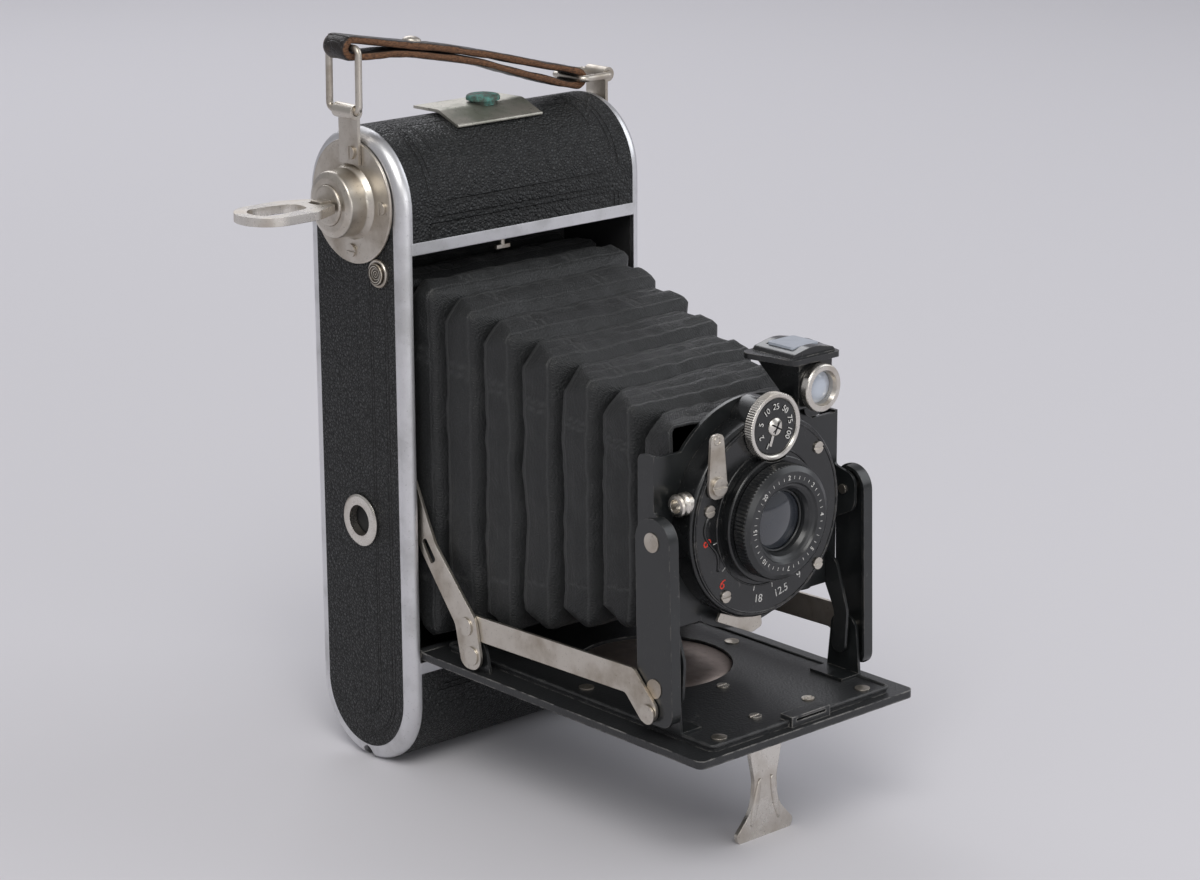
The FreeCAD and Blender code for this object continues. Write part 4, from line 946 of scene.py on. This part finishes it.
def make_dial(materials):
    """The speed dial: a knurled nickel rim, a black disc, a slotted screw whose slot is painted shade in
    black strokes, a pointer and numbers.
    """
    low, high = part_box("speed_dial")
    centre = face_centre("speed_dial")
    outer = (high.x - low.x) / 2
    face = low.y + 0.0009
    bore = 0.0066
    profile = [
        (high.y, bore), (high.y, outer - 0.0003), (high.y - 0.0002, outer), (face - 0.0002, outer),
        (face - 0.0004, outer - 0.0003), (face - 0.0004, outer - 0.0010), (face - 0.0001, outer - 0.0013),
        (face + 0.0004, outer - 0.0014),
    ]
    rim = knurled("dial_rim", centre, profile, 84, 0.00022, materials["bright_nickel"])
    attach(rim, "speed_dial", "bright_nickel", "speed_dial")
    disc = dome_y("dial_disc", centre, face + 0.0001, outer - 0.0012, 0.00012, materials["black_enamel"])
    attach(disc, "speed_dial", "black_enamel")
    screw = dome_y("dial_screw", centre, face - 0.0002, 0.0022, 0.0006, materials["bright_nickel"])
    attach(screw, "speed_dial", "bright_nickel")
    # Painted shade: the screw's slot is black strokes laid over its head, not cut in.
    slots = [math.radians(30), math.radians(120)]
    ticks("dial_screw_slot_shade", centre, face - 0.00082, -0.0017, 0.0034, 0.0004, slots, "speed_dial",
          materials["matt_black"], "nickel")
    ticks("dial_pointer", centre, face - 0.0001, 0.0018, 0.0030, 0.0008, [math.radians(200)], "speed_dial",
          materials["bright_nickel"], "bright_nickel")
    speeds = ("1", "2", "5", "10", "25", "50", "75", "100")
    angles = [math.radians(-150 + 38 * k) for k in range(len(speeds))]
    number_ring("dial_number", speeds, angles, centre, 0.0049, face - 0.00018, 0.0021, "speed_dial",
                materials["white_paint"], "bright_nickel")


def make_shutter_marks(materials):
    """Raised rings, numbers and the curved slot on the shutter's face."""
    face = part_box("shutter_face")[0].y
    centre = face_centre("shutter_face")
    centre.x = 0
    for i, (radius, thick) in enumerate(((0.0236, 0.00022), (0.0168, 0.00025))):
        ring = torus_y(f"face_ring_{i}", centre, face, radius, thick, materials["black_enamel"])
        attach(ring, "lens_standard", "black_enamel")
    red, white = ("red_paint", 0.0036, 0.9), ("white_paint", 0.0028, 1)
    numbers = [("8", -97, red), ("6", -133, red),
               ("18", -172, white), ("12.5", 166, white), ("9", 147, white)]
    for k, (word, angle, (paint, size, half_turns)) in enumerate(numbers):
        turn = math.radians(angle)
        place = centre + on_clock(turn) * 0.0202
        place.y = face - 0.00003
        mark(f"aperture_number_{k}", word, place, size, turn + math.pi * half_turns, "lens_standard",
             materials[paint], "black_enamel")
    strokes = [math.radians(angle) for angle in (-100, -125, -166, 174, 155)]
    ticks("aperture_ticks", centre, face, 0.0170, 0.0012, 0.0002, strokes, "lens_standard",
          materials["white_paint"], "black_enamel")
    slot, steps = [], 23
    for i in range(steps + 1):
        angle = math.radians(-76 - 46 * i / steps)
        radius = 0.0192 + 0.0016 * math.sin(i / steps * 2 * math.pi)
        slot.append((centre.x + radius * math.sin(angle), centre.z + radius * math.cos(angle)))
    lip = tube_y("curved_slot_lip", slot, face, 0.00042, materials["black_enamel"])
    attach(lip, "lens_standard", "black_enamel")


# ---------------------------------------------------------------- bed, foot and lever
def make_bed_details(materials):
    """The bare metal seen through the pan's round window, and a rolled lip round the pan."""
    window = Vector((0, -0.067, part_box("bed_plate")[1].z + 0.00001))
    floor = disc_z("bed_window_floor", window, 0.0198, materials["rosy_metal"])
    attach(floor, "bed", "satin_aluminium")
    top, side, front, rear, corner = 0.0346, 0.0287, -0.1182, -0.0236, 0.0014
    outline = []
    for x, y, begin in ((side, front, -90), (side, rear, 0), (-side, rear, 90), (-side, front, 180)):
        for angle in (math.radians(begin + 15 * k) for k in range(7)):
            outline.append((x + corner * math.cos(angle), y + corner * math.sin(angle)))
    rings = []
    for i, (x, y) in enumerate(outline):
        before, after = outline[i - 1], outline[(i + 1) % len(outline)]
        along = Vector((after[0] - before[0], after[1] - before[1], 0)).normalized()
        out = Vector((along.y, -along.x, 0))
        rings.append(bead(Vector((x, y, top)), out, Vector((0, 0, 1)), 0.0005, 0.00055))
    vertices, faces = loft_loop(rings)
    lip = add_mesh("bed_pan_lip", vertices, faces, materials["crackle_black"])
    attach(lip, "bed", "crackle_black")


def make_lever_hole(materials):
    """The pierced end of the release lever: a matt black disc of painted shade fills the opening, inside a
    nickel rim.
    """
    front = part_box("release_lever")[0].y
    end = Vector((-0.01775, 0, 0.1045))
    # Painted shade: a matt black disc stands for the dark inside of the opening.
    hole = dome_y("lever_hole", end, front + 0.00085, 0.00075, 0.00003, materials["matt_black"])
    attach(hole, "release_lever", "nickel")
    rim = torus_y("lever_hole_rim", end, front + 0.0008, 0.00095, 0.00022, materials["nickel"])
    attach(rim, "release_lever", "nickel")


def make_foot_flutes(materials):
    """Two stamped flutes on the folding foot that lean together towards its top."""
    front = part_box("folding_foot")[0].y
    steps = 11
    for word, side in (("left", -1), ("right", 1)):
        rings = []
        for i in range(steps + 1):
            share = i / steps
            centre = Vector((side * (0.0046 - 0.0026 * share), front, 0.0035 + 0.0120 * share))
            size = 0.0009 * math.sin(math.pi * (0.08 + 0.84 * share)) + 0.00015
            rings.append([centre + Vector((size * math.cos(t), 0.45 * size * math.sin(t), 0))
                          for t in turns(12)])
        vertices, faces = loft(rings, closed_ends=True)
        flute = add_mesh(f"foot_flute_{word}", vertices, faces, materials["bright_nickel"])
        attach(flute, "folding_foot", "bright_nickel")


# ---------------------------------------------------------------- build
make_camera()
make_lights()
make_stage()
MATERIALS = make_materials()
finish_cad_nodes(MATERIALS)
make_bellows(MATERIALS)
make_strap(MATERIALS)
make_lens(MATERIALS)
make_dial(MATERIALS)
make_bed_details(MATERIALS)
make_lever_hole(MATERIALS)
make_foot_flutes(MATERIALS)
make_shutter_marks(MATERIALS)
